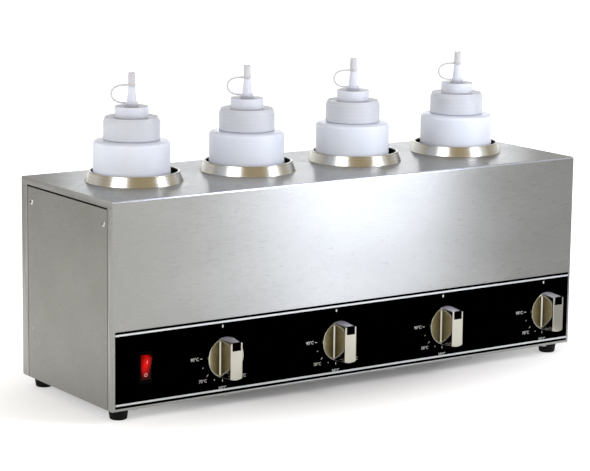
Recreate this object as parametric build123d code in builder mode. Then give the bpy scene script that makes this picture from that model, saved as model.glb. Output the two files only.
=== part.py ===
"""Hot fudge topping warmer: a welded steel casing with four heated wells, each holding a squeeze bottle.

Millimetres, +Z up, +X along the casing and the controls on the -Y side. The origin is on the floor, at the
middle of the whole object's footprint, knobs and cord gland included.
"""

import os
from math import cos, radians, sin

from build123d import *

# Casing, folded from stainless sheet and welded along the top
body_width = 560.0
body_depth = 180.0
body_height = 201.0
sheet = 1.0
bend_radius = 2.0
end_flange_front = 9.5
end_flange_back = 12.0
end_flange_top = 7.0
bottom_flange = 14.0
seam_top = 1.7
seam_side = 0.8
fit_gap = 0.3

# Corner angles that the end panels are riveted to
post_sheet = 1.2
post_reach = 28.0
post_foot = 14.0

# Blind rivets in the end panels
rivet_inset_front = 17.4
rivet_inset_back = 20.8
rivet_drop = 23.0
rivet_head_radius = 3.1
rivet_head_height = 1.3
rivet_shank_radius = 1.6
rivet_pin_radius = 0.7
low_rivet_height = 52.0
low_rivet_head_radius = 2.2
low_rivet_head_height = 0.7

# Base plate, its screws and vents
base_screw_count = 6
base_screw_end = 27.5
base_screw_inset = 7.0
screw_head_radius = 3.3
screw_head_height = 2.0
screw_head_edge = 0.8
screw_shank_radius = 1.5
screw_length = 5.0
screw_hole_play = 0.2
vent_width = 4.0
vent_length = 30.0
vent_count = 9
vent_pitch = 12.0
vent_group_inset = 155.0

# Feet
foot_height = 11.0
foot_top_radius = 9.8
foot_bottom_radius = 8.3
foot_edge_radius = 1.5
foot_inset_x = 15.0
foot_inset_y = 16.0
foot_recess_radius = 4.5
foot_recess_depth = 5.5
foot_screw_radius = 2.0
foot_screw_head_radius = 3.6
foot_screw_head_height = 2.4

# Control strip
strip_margin = 2.5
strip_height = 74.0
strip_rise = 3.0
strip_thickness = 0.4
control_height = 40.0

# Knobs
well_count = 4
knob_inset_left = 121.5
knob_inset_right = 36.5
knob_radius = 20.0
knob_rim = 2.0
knob_rim_lift = 5.0
knob_bar_width = 13.6
knob_bar_height = 18.5
knob_scoop = 1.3
knob_edge = 0.8
knob_hub_radius = 8.0
knob_hub_lift = 2.0
knob_bore_depth = 13.0
pointer_width = 8.0
pointer_length = 7.0
pointer_depth = 1.5
pointer_margin = 1.2
seat_play = 0.05

# Thermostats
thermostat_width = 40.0
thermostat_height = 38.0
thermostat_depth = 28.0
thermostat_corner = 3.0
bracket_width = 40.0
bracket_height = 26.0
bracket_sheet = 1.5
bushing_radius = 5.0
bushing_reach = 1.5
shaft_radius = 3.0
shaft_flat = 1.0
shaft_play = 0.06
shaft_depth = 10.0
thermostat_screw_pitch = 28.0
thermostat_screw_radius = 1.9
blade_width = 6.3
blade_sheet = 0.8
blade_length = 8.0
blade_pitch = 16.0

# Rocker switch
switch_inset = 34.5
bezel_width = 14.5
bezel_height = 31.0
bezel_thickness = 1.8
bezel_corner = 1.5
bezel_chamfer = 0.5
switch_body_width = 12.0
switch_body_height = 26.6
switch_body_depth = 18.0
switch_cutout_play = 0.2
switch_blade_count = 3
switch_blade_width = 4.8
switch_blade_pitch = 8.0
rocker_width = 10.0
rocker_radius = 12.0
rocker_play = 0.35
rocker_hollow = 2.6
rocker_end = 4.0
rocker_back = 3.0
rocker_tilt = 10.0
rocker_pin_radius = 1.0
rocker_pin_play = 0.05
rocker_pocket_depth = 8.0

# Wells and the collars that carry them
well_inset = 81.25
well_setback = 99.0
well_inner_radius = 42.8
well_wall = 0.8
well_floor_height = 52.0
well_corner = 6.0
collar_base_radius = 48.4
collar_rim_radius = 44.7
collar_height = 9.6
collar_wall = 0.8
lip_height = 0.7
lip_edge = 0.3
deck_hole_play = 0.7

# Band heaters
band_thickness = 2.6
band_bottom = 74.0
band_height = 62.0
band_opening = 11.0
band_play = 0.1
lug_reach = 9.0
lug_sheet = 1.5
lug_height = 16.0
lug_root = 1.0
clamp_reach = 6.0
clamp_bolt_radius = 1.5
clamp_head_radius = 3.0
clamp_head_height = 2.0

# Thermostat bulbs, capillaries and wiring
bulb_radius = 3.0
bulb_bottom = 82.0
bulb_length = 48.0
capillary_radius = 0.9
capillary_level = 66.0
capillary_bend = 5.0
lead_radius = 1.4
lead_bend = 8.0
lead_angle = 60.0
trunk_radius = 3.2
trunk_level = 10.0
trunk_setback = 50.0

# Supply side
gland_inset = 70.0
gland_level = 30.0
gland_hex = 19.0
gland_hex_length = 5.0
gland_dome_length = 15.0
gland_dome_radius = 9.0
gland_dome_edge = 3.5
gland_thread_radius = 7.6
gland_thread_length = 9.0
gland_bore_radius = 3.8
gland_hole_play = 0.15
locknut_thickness = 4.0
terminal_width = 44.0
terminal_depth = 18.0
terminal_height = 16.0
terminal_poles = 3
terminal_bore = 2.2
terminal_inset = 120.0
terminal_setback = 46.0
stud_radius = 2.5
stud_height = 14.0
stud_collar_radius = 4.5
stud_collar_height = 4.0
stud_gap = 30.0

# Squeeze bottles
bottle_radius = 38.9
bottle_top_radius = 37.9
bottle_wall = 1.2
bottle_corner = 6.0
shoulder_height = 241.0
shoulder_rise = 1.2
shoulder_corner = 5.0
neck_radius = 26.0
bottle_shifts = (-2.9, -1.8, -3.6, 0.1)
seat_gap = 0.3

# Bottle lids with their spouts
lid_radius = 28.0
lid_wall = 1.5
lid_bottom_height = 242.5
lid_height = 21.8
lid_chamfer_height = 4.6
lid_chamfer_width = 1.9
lid_land = 5.5
step_radius = 16.6
step_height = 10.3
step_edge = 1.0
spout_base_radius = 5.0
spout_top_radius = 3.5
spout_height = 19.4
spout_fillet = 2.5
spout_bore = 1.3
spout_tip_radius = 2.4
spout_tip_height = 10.0

# Spout caps with strap and ring
tip_cap_radius = 3.7
tip_cap_play = 0.35
tip_cap_height = 13.0
tip_cap_top = 1.4
tip_cap_edge = 0.9
tip_cap_flange_radius = 4.3
tip_cap_flange = 1.0
strap_radius = 0.65
strap_run = 11.5
strap_loop_radius = 8.6
strap_angle = 150.0
ring_radius = 6.7
ring_play = 0.4
ring_height = 1.2

# Places worked out from the sizes
knob_reach = knob_rim_lift + knob_rim + knob_bar_height
gland_reach = gland_hex_length + gland_dome_length
front = knob_reach - (knob_reach + body_depth + gland_reach) / 2
back = front + body_depth
middle = (front + back) / 2
left = -body_width / 2
base = foot_height
deck = base + body_height
weld_z = deck - end_flange_top
base_top = base + 2 * sheet
control_z = base + control_height
well_y = front + well_setback
well_outer_radius = well_inner_radius + well_wall
well_floor = base + well_floor_height
rim_z = deck + collar_height
band_inner_radius = well_outer_radius + band_play
band_outer_radius = band_inner_radius + band_thickness
band_z = base + band_bottom
clamp_y = well_y - band_outer_radius - clamp_reach
clamp_z = band_z + band_height / 2
bulb_y = well_y - well_outer_radius - band_play - bulb_radius
thermostat_back = front + sheet + bracket_sheet + thermostat_depth
gland_x = body_width / 2 - gland_inset
terminal_x = body_width / 2 - terminal_inset
terminal_y = back - terminal_setback
pivot_y = front - strip_thickness / 2
switch_x = left + switch_inset
bottle_base = well_floor + well_wall + seat_gap
shoulder_z = base + shoulder_height
lid_bottom = base + lid_bottom_height
lid_top = lid_bottom + lid_height
neck_top = lid_top - lid_chamfer_height - seat_gap
step_top = lid_top + step_height
spout_top = step_top + spout_height
tip_cap_bottom = spout_top + seat_gap


def row(pitch, count):
    """Positions of count items at a pitch, centred on zero."""
    return [pitch * (i - (count - 1) / 2) for i in range(count)]


def along_casing(left_inset, right_inset, count):
    """X positions of count items, evenly spaced between an inset from each end of the casing."""
    first, last = left + left_inset, -left - right_inset
    return [first + (last - first) * i / (count - 1) for i in range(count)]


well_xs = along_casing(well_inset, well_inset, well_count)
knob_xs = along_casing(knob_inset_left, knob_inset_right, well_count)
base_screw_xs = along_casing(base_screw_end, base_screw_end, base_screw_count)
vent_group_xs = along_casing(vent_group_inset, vent_group_inset, 2)
foot_xs = along_casing(foot_inset_x, foot_inset_x, 2)
foot_ys = (front + foot_inset_y, back - foot_inset_y)


def front_plane(reach):
    """The plane parallel to the front wall, a reach in front of it; local axes are X and Z."""
    return Plane.XZ.offset(reach - front)


def axis_plane(x, y):
    """An upright plane through a vertical axis; local axes are radius and Z."""
    return Plane(origin=(x, y, 0), x_dir=(1, 0, 0), z_dir=(0, -1, 0))


def upright(x, y):
    """The vertical axis through a point of the floor."""
    return Axis((x, y, 0), (0, 0, 1))


def save(piece, name):
    """Label a finished piece and write its STEP file."""
    piece.part.label = name
    export_step(piece.part, f"parts/{name}.step")


def casing_shell():
    """The casing's section, run along its length, with flanges turned in at the ends and underneath."""
    centre = (middle, base + body_height / 2)
    with BuildPart() as shell:
        with BuildSketch(Plane.YZ.offset(left)):
            with Locations(centre):
                RectangleRounded(body_depth, body_height, bend_radius)
        extrude(amount=body_width)
        with BuildSketch(Plane.YZ.offset(left + sheet)):
            with Locations(centre):
                RectangleRounded(body_depth - 2 * sheet, body_height - 2 * sheet, bend_radius - sheet)
        extrude(amount=body_width - 2 * sheet, mode=Mode.SUBTRACT)
        with BuildSketch(Plane.XY.offset(base)):
            with Locations((0, middle)):
                Rectangle(body_width, body_depth - 2 * bottom_flange)
        extrude(amount=sheet, mode=Mode.SUBTRACT)
        for end in (left, -left - sheet):
            with BuildSketch(Plane.YZ.offset(end)):
                with Locations((front + end_flange_front, base)):
                    Rectangle(
                        body_depth - end_flange_front - end_flange_back,
                        body_height - end_flange_top,
                        align=(Align.MIN, Align.MIN),
                    )
            extrude(amount=sheet, mode=Mode.SUBTRACT)
        with BuildSketch(Plane.XY.offset(base)):
            with Locations(*base_screw_places()):
                Circle(screw_shank_radius + screw_hole_play)
            with Locations(*foot_places()):
                Circle(foot_screw_radius + screw_hole_play)
        extrude(amount=sheet, mode=Mode.SUBTRACT)
    return shell.part


def make_deck_sheet(shell):
    """Deck folded down all round to the weld, with a hole under each well's collar."""
    with BuildPart() as deck_sheet:
        add(shell)
        split(bisect_by=Plane.XY.offset(weld_z), keep=Keep.TOP)
        with BuildSketch(Plane.XY.offset(deck)):
            with Locations(*[(x, well_y) for x in well_xs]):
                Circle(well_outer_radius + deck_hole_play)
        extrude(amount=-sheet, mode=Mode.SUBTRACT)
    save(deck_sheet, "deck_sheet")


def make_front_sheet(shell):
    """Front wall below the weld, with holes for the thermostats and the switch."""
    with BuildPart() as front_sheet:
        add(shell)
        split(bisect_by=Plane.XY.offset(weld_z), keep=Keep.BOTTOM)
        split(bisect_by=Plane.XZ.offset(-middle), keep=Keep.TOP)
        with BuildSketch(front_plane(0)):
            with Locations(*[(x, control_z) for x in knob_xs]):
                Circle(bushing_radius + screw_hole_play)
                with GridLocations(thermostat_screw_pitch, 0, 2, 1):
                    Circle(thermostat_screw_radius + screw_hole_play)
            with Locations((switch_x, control_z)):
                Rectangle(
                    switch_body_width + 2 * switch_cutout_play, switch_body_height + 2 * switch_cutout_play
                )
        extrude(amount=-sheet, mode=Mode.SUBTRACT)
    save(front_sheet, "front_sheet")


def make_back_sheet(shell):
    """Back wall below the weld, with a hole for the cable gland."""
    with BuildPart() as back_sheet:
        add(shell)
        split(bisect_by=Plane.XY.offset(weld_z), keep=Keep.BOTTOM)
        split(bisect_by=Plane.XZ.offset(-middle), keep=Keep.BOTTOM)
        with BuildSketch(Plane.XZ.offset(-back)):
            with Locations((gland_x, base + gland_level)):
                Circle(gland_thread_radius + gland_hole_play)
        extrude(amount=sheet, mode=Mode.SUBTRACT)
    save(back_sheet, "back_sheet")


def base_screw_places():
    """Floor positions of the screws along the front and back flanges."""
    rows = (front + base_screw_inset, back - base_screw_inset)
    return [(x, y) for y in rows for x in base_screw_xs]


def foot_places():
    """Floor positions of the four feet."""
    return [(x, y) for y in foot_ys for x in foot_xs]


def rivet_places():
    """Y and Z of each rivet in an end panel: two high, and one low at the back."""
    high = deck - rivet_drop
    return [
        (front + rivet_inset_front, high),
        (back - rivet_inset_back, high),
        (back - rivet_inset_back, base + low_rivet_height),
    ]


def make_end_panel(side, name):
    """A flat panel standing in the opening that an end's flanges leave, with an open seam round it."""
    low_y = front + end_flange_front + seam_side
    high_y = back - end_flange_back - seam_side
    panel_height = body_height - end_flange_top - seam_top
    with BuildPart() as end_panel:
        with BuildSketch(Plane.YZ.offset(side * body_width / 2)):
            with Locations((low_y, base)):
                Rectangle(high_y - low_y, panel_height, align=(Align.MIN, Align.MIN))
            with Locations(*rivet_places()):
                Circle(rivet_shank_radius + seat_play, mode=Mode.SUBTRACT)
        extrude(amount=-side * sheet)
    save(end_panel, name)


def make_corner_posts():
    """Four upright angles inside the corners, welded to the front and back walls."""
    height = deck - bend_radius - base_top
    with BuildPart() as corner_posts:
        for side in (-1, 1):
            end_x = side * (body_width / 2 - sheet)
            for wall_y, inward in ((front + sheet, 1), (back - sheet, -1)):
                with BuildSketch(Plane.XY.offset(base_top)):
                    with Locations((end_x - side * post_sheet / 2, wall_y + inward * post_reach / 2)):
                        Rectangle(post_sheet, post_reach)
                    with Locations((end_x - side * post_foot / 2, wall_y + inward * post_sheet / 2)):
                        Rectangle(post_foot, post_sheet)
                extrude(amount=height)
            with BuildSketch(Plane.YZ.offset(end_x)):
                with Locations(*rivet_places()):
                    Circle(rivet_shank_radius + seat_play)
            extrude(amount=-side * post_sheet, mode=Mode.SUBTRACT)
    save(corner_posts, "corner_posts")


def rivet(head_radius, head_height):
    """A blind rivet standing on Z, with the broken pin's dimple in the middle of its domed head."""
    shank = sheet + post_sheet
    with BuildPart() as piece:
        with BuildSketch(Plane.XZ):
            with BuildLine():
                TangentArc((0, head_height), (head_radius, 0), tangent=(1, 0))
                Polyline(
                    (head_radius, 0),
                    (rivet_shank_radius, 0),
                    (rivet_shank_radius, -shank),
                    (0, -shank),
                    (0, head_height),
                )
            make_face()
        revolve(axis=Axis.Z)
        with BuildSketch(Plane.XY.offset(head_height)):
            Circle(rivet_pin_radius)
        extrude(amount=-head_height / 2, mode=Mode.SUBTRACT)
    return piece.part


def make_end_rivets():
    """Domed rivets through the end panels and the corner posts, with a smaller one low at the back."""
    tall = rivet(rivet_head_radius, rivet_head_height)
    low = rivet(low_rivet_head_radius, low_rivet_head_height)
    with BuildPart() as end_rivets:
        for side in (-1, 1):
            for (y, z), piece in zip(rivet_places(), (tall, tall, low)):
                with Locations(Location((side * body_width / 2, y, z), (0, side * 90, 0))):
                    add(piece)
    save(end_rivets, "end_rivets")


def make_base_plate():
    """Closing sheet that lies on the casing's bottom flanges, with vents under the wells."""
    with BuildPart() as base_plate:
        with BuildSketch(Plane.XY.offset(base + sheet)):
            with Locations((0, middle)):
                Rectangle(body_width - 2 * sheet - 2 * fit_gap, body_depth - 2 * bend_radius - 2 * fit_gap)
            with Locations(*base_screw_places()):
                Circle(screw_shank_radius + screw_hole_play, mode=Mode.SUBTRACT)
            with Locations(*foot_places()):
                Circle(foot_screw_radius + screw_hole_play, mode=Mode.SUBTRACT)
            for group_x in vent_group_xs:
                with Locations(*[(group_x + x, middle) for x in row(vent_pitch, vent_count)]):
                    SlotOverall(vent_length, vent_width, rotation=90, mode=Mode.SUBTRACT)
        extrude(amount=sheet)
    save(base_plate, "base_plate")


def make_base_screws():
    """Pan head screws up through the bottom flanges and the base plate."""
    with BuildPart() as base_screws:
        with BuildSketch(Plane.XY.offset(base)):
            with Locations(*base_screw_places()):
                Circle(screw_head_radius)
        extrude(amount=-screw_head_height)
        fillet(base_screws.faces().group_by(Axis.Z)[0].edges(), screw_head_edge)
        with BuildSketch(Plane.XY.offset(base)):
            with Locations(*base_screw_places()):
                Circle(screw_shank_radius)
        extrude(amount=screw_length)
    save(base_screws, "base_screws")


def make_rubber_feet():
    """Tapered rubber feet, each recessed for its screw."""
    with BuildPart() as foot:
        Cone(foot_bottom_radius, foot_top_radius, foot_height, align=(Align.CENTER, Align.CENTER, Align.MIN))
        fillet(foot.faces().sort_by(Axis.Z)[0].edges(), foot_edge_radius)
        with Locations((0, 0, foot_height)):
            Hole(foot_screw_radius + screw_hole_play)
        with BuildSketch(Plane.XY):
            Circle(foot_recess_radius)
        extrude(amount=foot_recess_depth, mode=Mode.SUBTRACT)
    with BuildPart() as rubber_feet:
        with Locations(*foot_places()):
            add(foot.part)
    save(rubber_feet, "rubber_feet")


def make_foot_screws():
    """A screw up each foot, its head against the floor of the recess."""
    with BuildPart() as foot_screws:
        with BuildSketch(Plane.XY.offset(foot_recess_depth)):
            with Locations(*foot_places()):
                Circle(foot_screw_head_radius)
        extrude(amount=-foot_screw_head_height)
        with BuildSketch(Plane.XY.offset(foot_recess_depth)):
            with Locations(*foot_places()):
                Circle(foot_screw_radius)
        extrude(amount=base_top + screw_length / 2 - foot_recess_depth)
    save(foot_screws, "foot_screws")


def make_control_overlay():
    """Printed control strip stuck along the foot of the front wall."""
    with BuildPart() as control_overlay:
        with BuildSketch(front_plane(0)):
            with Locations((0, base + strip_rise + strip_height / 2)):
                Rectangle(body_width - 2 * strip_margin, strip_height)
            with Locations(*[(x, control_z) for x in knob_xs]):
                Circle(bushing_radius + screw_hole_play, mode=Mode.SUBTRACT)
                with GridLocations(thermostat_screw_pitch, 0, 2, 1):
                    Circle(screw_head_radius + screw_hole_play, mode=Mode.SUBTRACT)
            with Locations((switch_x, control_z)):
                Rectangle(
                    switch_body_width + 2 * switch_cutout_play,
                    switch_body_height + 2 * switch_cutout_play,
                    mode=Mode.SUBTRACT,
                )
        extrude(amount=strip_thickness)
    save(control_overlay, "control_overlay")


def shaft_outline(play):
    """The shaft's round section with its flat, as a sketch grown by a play."""
    Circle(shaft_radius + play)
    with Locations((0, shaft_radius + play)):
        Rectangle(
            2 * (shaft_radius + play), 2 * shaft_flat, align=(Align.CENTER, Align.CENTER), mode=Mode.SUBTRACT
        )


def knob_plane(x, reach):
    """A plane across a knob's axis, centred on it."""
    return Plane(origin=(x, front - reach, control_z), x_dir=(1, 0, 0), z_dir=(0, -1, 0))


def make_knob(number, x):
    """Bar knob: a thin rim, a grip bar with scooped sides across it, and a hub that takes the shaft."""
    scoop_radius = ((knob_bar_height / 2) ** 2 + knob_scoop**2) / (2 * knob_scoop)
    scoop_centre = knob_bar_width / 2 - knob_scoop + scoop_radius
    rim_front = knob_rim_lift + knob_rim
    with BuildPart() as knob:
        with BuildSketch(knob_plane(x, rim_front)):
            Circle(knob_radius)
            Rectangle(knob_bar_width, 2 * knob_radius, mode=Mode.INTERSECT)
        extrude(amount=knob_bar_height)
        scoop_y = front - rim_front - knob_bar_height / 2
        with Locations((x - scoop_centre, scoop_y, control_z), (x + scoop_centre, scoop_y, control_z)):
            Cylinder(scoop_radius, 2 * knob_radius, mode=Mode.SUBTRACT)
        fillet(knob.faces().sort_by(Axis.Y)[0].edges(), knob_edge)
        with BuildSketch(knob_plane(x, knob_rim_lift)):
            Circle(knob_radius)
        extrude(amount=knob_rim)
        with BuildSketch(knob_plane(x, knob_hub_lift)):
            Circle(knob_hub_radius)
        extrude(amount=knob_rim_lift - knob_hub_lift)
        with BuildSketch(knob_plane(x, knob_hub_lift)):
            shaft_outline(seat_play)
        extrude(amount=knob_bore_depth, mode=Mode.SUBTRACT)
        with BuildSketch(knob_plane(x, knob_reach)):
            with Locations((0, knob_radius - pointer_margin - pointer_length / 2)):
                Rectangle(pointer_width + 2 * seat_play, pointer_length + 2 * seat_play)
        extrude(amount=-pointer_depth, mode=Mode.SUBTRACT)
    save(knob, f"knob_{number}")


def make_knob_pointer(number, x):
    """Black insert at the end of the knob's bar."""
    with BuildPart() as pointer:
        with BuildSketch(knob_plane(x, knob_reach)):
            with Locations((0, knob_radius - pointer_margin - pointer_length / 2)):
                Rectangle(pointer_width, pointer_length)
        extrude(amount=-pointer_depth)
    save(pointer, f"knob_pointer_{number}")


def make_thermostat(number, x):
    """Capillary thermostat: bracket against the wall, body, threaded bushing and two blade terminals."""
    with BuildPart() as thermostat:
        with BuildSketch(knob_plane(x, -sheet)):
            RectangleRounded(bracket_width, bracket_height, thermostat_corner)
        extrude(amount=-bracket_sheet)
        with BuildSketch(knob_plane(x, -sheet - bracket_sheet)):
            RectangleRounded(thermostat_width, thermostat_height, thermostat_corner)
        extrude(amount=-thermostat_depth)
        with BuildSketch(knob_plane(x, bushing_reach)):
            Circle(bushing_radius)
        extrude(amount=-bushing_reach - sheet)
        with BuildSketch(Plane.XZ.offset(-thermostat_back)):
            with Locations((x - blade_pitch / 2, control_z), (x + blade_pitch / 2, control_z)):
                Rectangle(blade_sheet, blade_width)
        extrude(amount=-blade_length)
        with BuildSketch(knob_plane(x, bushing_reach)):
            Circle(shaft_radius + shaft_play)
        extrude(amount=-bushing_reach - shaft_depth - 2 * seat_gap, mode=Mode.SUBTRACT)
        with BuildSketch(knob_plane(x, -sheet)):
            with GridLocations(thermostat_screw_pitch, 0, 2, 1):
                Circle(thermostat_screw_radius)
        extrude(amount=-screw_length, mode=Mode.SUBTRACT)
    save(thermostat, f"thermostat_{number}")


def make_thermostat_shaft(number, x):
    """Round shaft with a flat on the length that the knob takes."""
    with BuildPart() as shaft:
        with BuildSketch(knob_plane(x, -shaft_depth)):
            Circle(shaft_radius)
        extrude(amount=shaft_depth + knob_hub_lift)
        with BuildSketch(knob_plane(x, knob_hub_lift)):
            shaft_outline(0)
        extrude(amount=knob_bore_depth - seat_gap)
    save(shaft, f"thermostat_shaft_{number}")


def make_thermostat_screws():
    """Two screws through the front wall into each thermostat, hidden under its knob."""
    with BuildPart() as thermostat_screws:
        with BuildSketch(front_plane(0)):
            with Locations(*[(x, control_z) for x in knob_xs]):
                with GridLocations(thermostat_screw_pitch, 0, 2, 1):
                    Circle(screw_head_radius)
        extrude(amount=screw_head_height)
        with BuildSketch(front_plane(0)):
            with Locations(*[(x, control_z) for x in knob_xs]):
                with GridLocations(thermostat_screw_pitch, 0, 2, 1):
                    Circle(thermostat_screw_radius)
        extrude(amount=-screw_length)
    save(thermostat_screws, "thermostat_screws")


def make_switch_housing():
    """Snap-in switch body with a bezel round its mouth and three blades behind."""
    pocket_width = rocker_width + 2 * rocker_play
    with BuildPart() as switch_housing:
        with BuildSketch(front_plane(strip_thickness)):
            with Locations((switch_x, control_z)):
                RectangleRounded(bezel_width, bezel_height, bezel_corner)
        extrude(amount=bezel_thickness)
        chamfer(switch_housing.faces().sort_by(Axis.Y)[0].edges(), bezel_chamfer)
        with BuildSketch(front_plane(strip_thickness)):
            with Locations((switch_x, control_z)):
                Rectangle(switch_body_width, switch_body_height)
        extrude(amount=-strip_thickness - switch_body_depth)
        with BuildSketch(front_plane(strip_thickness + bezel_thickness)):
            with Locations((switch_x, control_z)):
                Rectangle(pocket_width, 2 * (rocker_radius + rocker_play))
        extrude(amount=-strip_thickness - bezel_thickness - rocker_pocket_depth, mode=Mode.SUBTRACT)
        with Locations(Location((switch_x, pivot_y, control_z), (0, 90, 0))):
            Cylinder(rocker_pin_radius + rocker_pin_play, switch_body_width, mode=Mode.SUBTRACT)
        with BuildSketch(Plane.XZ.offset(-front - switch_body_depth)):
            with Locations(*[(switch_x, control_z + z) for z in row(switch_blade_pitch, switch_blade_count)]):
                Rectangle(switch_blade_width, blade_sheet)
        extrude(amount=-blade_length)
    save(switch_housing, "switch_housing")


def make_switch_rocker():
    """Rocker with a shallow V face, at rest with its lower half pressed in."""
    tilt = radians(rocker_tilt)
    side_plane = Plane(
        origin=(switch_x - rocker_width / 2, pivot_y, control_z),
        x_dir=(0, -cos(tilt), -sin(tilt)),
        z_dir=(1, 0, 0),
    )
    with BuildPart() as switch_rocker:
        with BuildSketch(side_plane):
            Circle(rocker_radius)
            with BuildLine():
                Polyline(
                    (-rocker_back, -rocker_radius),
                    (rocker_end, -rocker_radius),
                    (rocker_hollow, 0),
                    (rocker_end, rocker_radius),
                    (-rocker_back, rocker_radius),
                    close=True,
                )
            make_face(mode=Mode.INTERSECT)
        extrude(amount=rocker_width)
        with Locations(Location((switch_x, pivot_y, control_z), (0, 90, 0))):
            Cylinder(rocker_pin_radius, switch_body_width - 2 * seat_play)
    save(switch_rocker, "switch_rocker")


def make_well_cup(number, x):
    """Drawn cup with a lip that hangs on the rim of its collar."""
    with BuildPart() as well_cup:
        with BuildSketch(axis_plane(x, well_y)):
            with Locations((0, well_floor)):
                Rectangle(well_outer_radius, rim_z - well_floor, align=(Align.MIN, Align.MIN))
            fillet(outer_low_corner(well_outer_radius, well_floor), well_corner)
            with Locations((0, rim_z)):
                Rectangle(collar_rim_radius, lip_height, align=(Align.MIN, Align.MIN))
        revolve(axis=upright(x, well_y))
        floor_top = well_floor + well_wall
        inner_depth = rim_z + lip_height - floor_top
        with BuildSketch(axis_plane(x, well_y)):
            with Locations((0, floor_top)):
                Rectangle(well_inner_radius, inner_depth, align=(Align.MIN, Align.MIN))
            fillet(outer_low_corner(well_inner_radius, floor_top), well_corner - well_wall)
        revolve(axis=upright(x, well_y), mode=Mode.SUBTRACT)
        fillet(well_cup.faces().sort_by(Axis.Z)[-1].edges(), lip_edge)
    save(well_cup, f"well_cup_{number}")


def outer_low_corner(radius, height):
    """The corner of the current profile at a radius and a height."""
    corner = Vector(radius, height)
    sketch = BuildSketch._get_context()
    return sketch.vertices().sort_by(lambda vertex: (Vector(vertex.X, vertex.Y) - corner).length)[0]


def make_well_collar(number, x):
    """Coned ring that stands on the deck and carries the cup's lip."""
    with BuildPart() as well_collar:
        with BuildSketch(axis_plane(x, well_y)):
            with BuildLine():
                Polyline(
                    (collar_base_radius, deck),
                    (collar_rim_radius, rim_z),
                    (collar_rim_radius - collar_wall, rim_z),
                    (collar_base_radius - collar_wall, deck),
                    close=True,
                )
            make_face()
        revolve(axis=upright(x, well_y))
    save(well_collar, f"well_collar_{number}")


def make_heater_bands():
    """Band heaters round the wells, open at the front, with two lugs that the clamp bolt draws together."""
    lug_z = band_z + (band_height - lug_height) / 2
    lug_back = well_y - band_outer_radius + lug_root
    with BuildPart() as heater_bands:
        for x in well_xs:
            with BuildSketch(Plane.XY.offset(band_z)):
                with Locations((x, well_y)):
                    Circle(band_outer_radius)
                    Circle(band_inner_radius, mode=Mode.SUBTRACT)
                with Locations((x, well_y - band_outer_radius)):
                    Rectangle(band_opening, 4 * band_thickness, mode=Mode.SUBTRACT)
            extrude(amount=band_height)
            with BuildSketch(Plane.XY.offset(lug_z)):
                for side in (-1, 1):
                    with Locations((x + side * (band_opening + lug_sheet) / 2, lug_back)):
                        Rectangle(lug_sheet, lug_reach + lug_root, align=(Align.CENTER, Align.MAX))
            extrude(amount=lug_height)
            with Locations(Location((x, clamp_y, clamp_z), (0, 90, 0))):
                Cylinder(
                    clamp_bolt_radius + screw_hole_play, 2 * (band_opening + lug_sheet), mode=Mode.SUBTRACT
                )
    save(heater_bands, "heater_bands")


def make_heater_clamps():
    """A bolt with a head and a nut across each band heater's lugs."""
    outside = band_opening / 2 + lug_sheet
    with BuildPart() as clamp:
        with BuildSketch(Plane.YZ.offset(-outside)):
            Circle(clamp_bolt_radius)
        extrude(amount=2 * outside)
        for side in (-1, 1):
            with BuildSketch(Plane.YZ.offset(side * outside)):
                RegularPolygon(clamp_head_radius, 6)
            extrude(amount=side * clamp_head_height)
    with BuildPart() as heater_clamps:
        with Locations(*[(x, clamp_y, clamp_z) for x in well_xs]):
            add(clamp.part)
    save(heater_clamps, "heater_clamps")


def tube(points, bend, radius):
    """A round tube along straight runs joined by tangent arcs."""
    with BuildPart() as run:
        with BuildLine() as path:
            FilletPolyline(*points, radius=bend)
        start = Plane(origin=path.line @ 0, z_dir=path.line % 0)
        with BuildSketch(start):
            Circle(radius)
        sweep(path=path.line)
    return run.part


def make_sensor_bulbs():
    """Each thermostat's bulb, held against its well in the heater's opening, with its capillary."""
    bulb_z = base + bulb_bottom
    level = base + capillary_level
    top = control_z + thermostat_height / 2
    inside_y = front + sheet + bracket_sheet + thermostat_depth / 2
    pieces = []
    for well_x, knob_x in zip(well_xs, knob_xs):
        route = [
            (well_x, bulb_y, bulb_z),
            (well_x, bulb_y, level),
            (knob_x, inside_y, level),
            (knob_x, inside_y, top),
        ]
        pieces.append(tube(route, capillary_bend, capillary_radius))
    with BuildPart() as sensor_bulbs:
        for piece, well_x in zip(pieces, well_xs):
            add(piece)
            with Locations((well_x, bulb_y, bulb_z)):
                Cylinder(bulb_radius, bulb_length, align=(Align.CENTER, Align.CENTER, Align.MIN))
    save(sensor_bulbs, "sensor_bulbs")


def make_wiring():
    """The loom from the terminals to the switch, and a lead from each thermostat to its heater."""
    floor_z = base + trunk_level
    trunk_y = front + trunk_setback
    blade_y = thermostat_back + blade_length
    switch_y = front + switch_body_depth + blade_length
    tap_x = terminal_x - terminal_width / 4
    trunk_route = [
        (tap_x, terminal_y - terminal_depth / 2, floor_z),
        (tap_x, trunk_y, floor_z),
        (switch_x, trunk_y, floor_z),
        (switch_x, trunk_y, control_z),
        (switch_x, switch_y, control_z),
    ]
    pieces = [tube(trunk_route, lead_bend, trunk_radius)]
    for well_x, knob_x in zip(well_xs, knob_xs):
        lead_x = well_x - band_outer_radius * cos(radians(lead_angle))
        lead_y = well_y - band_outer_radius * sin(radians(lead_angle)) - lead_radius
        blade_x = knob_x - blade_pitch / 2
        route = [
            (lead_x, lead_y, band_z - seat_gap),
            (lead_x, lead_y, control_z),
            (blade_x, lead_y, control_z),
            (blade_x, blade_y, control_z),
        ]
        pieces.append(tube(route, lead_bend / 2, lead_radius))
    with BuildPart() as wiring:
        for piece in pieces:
            add(piece)
    save(wiring, "wiring")


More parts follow.
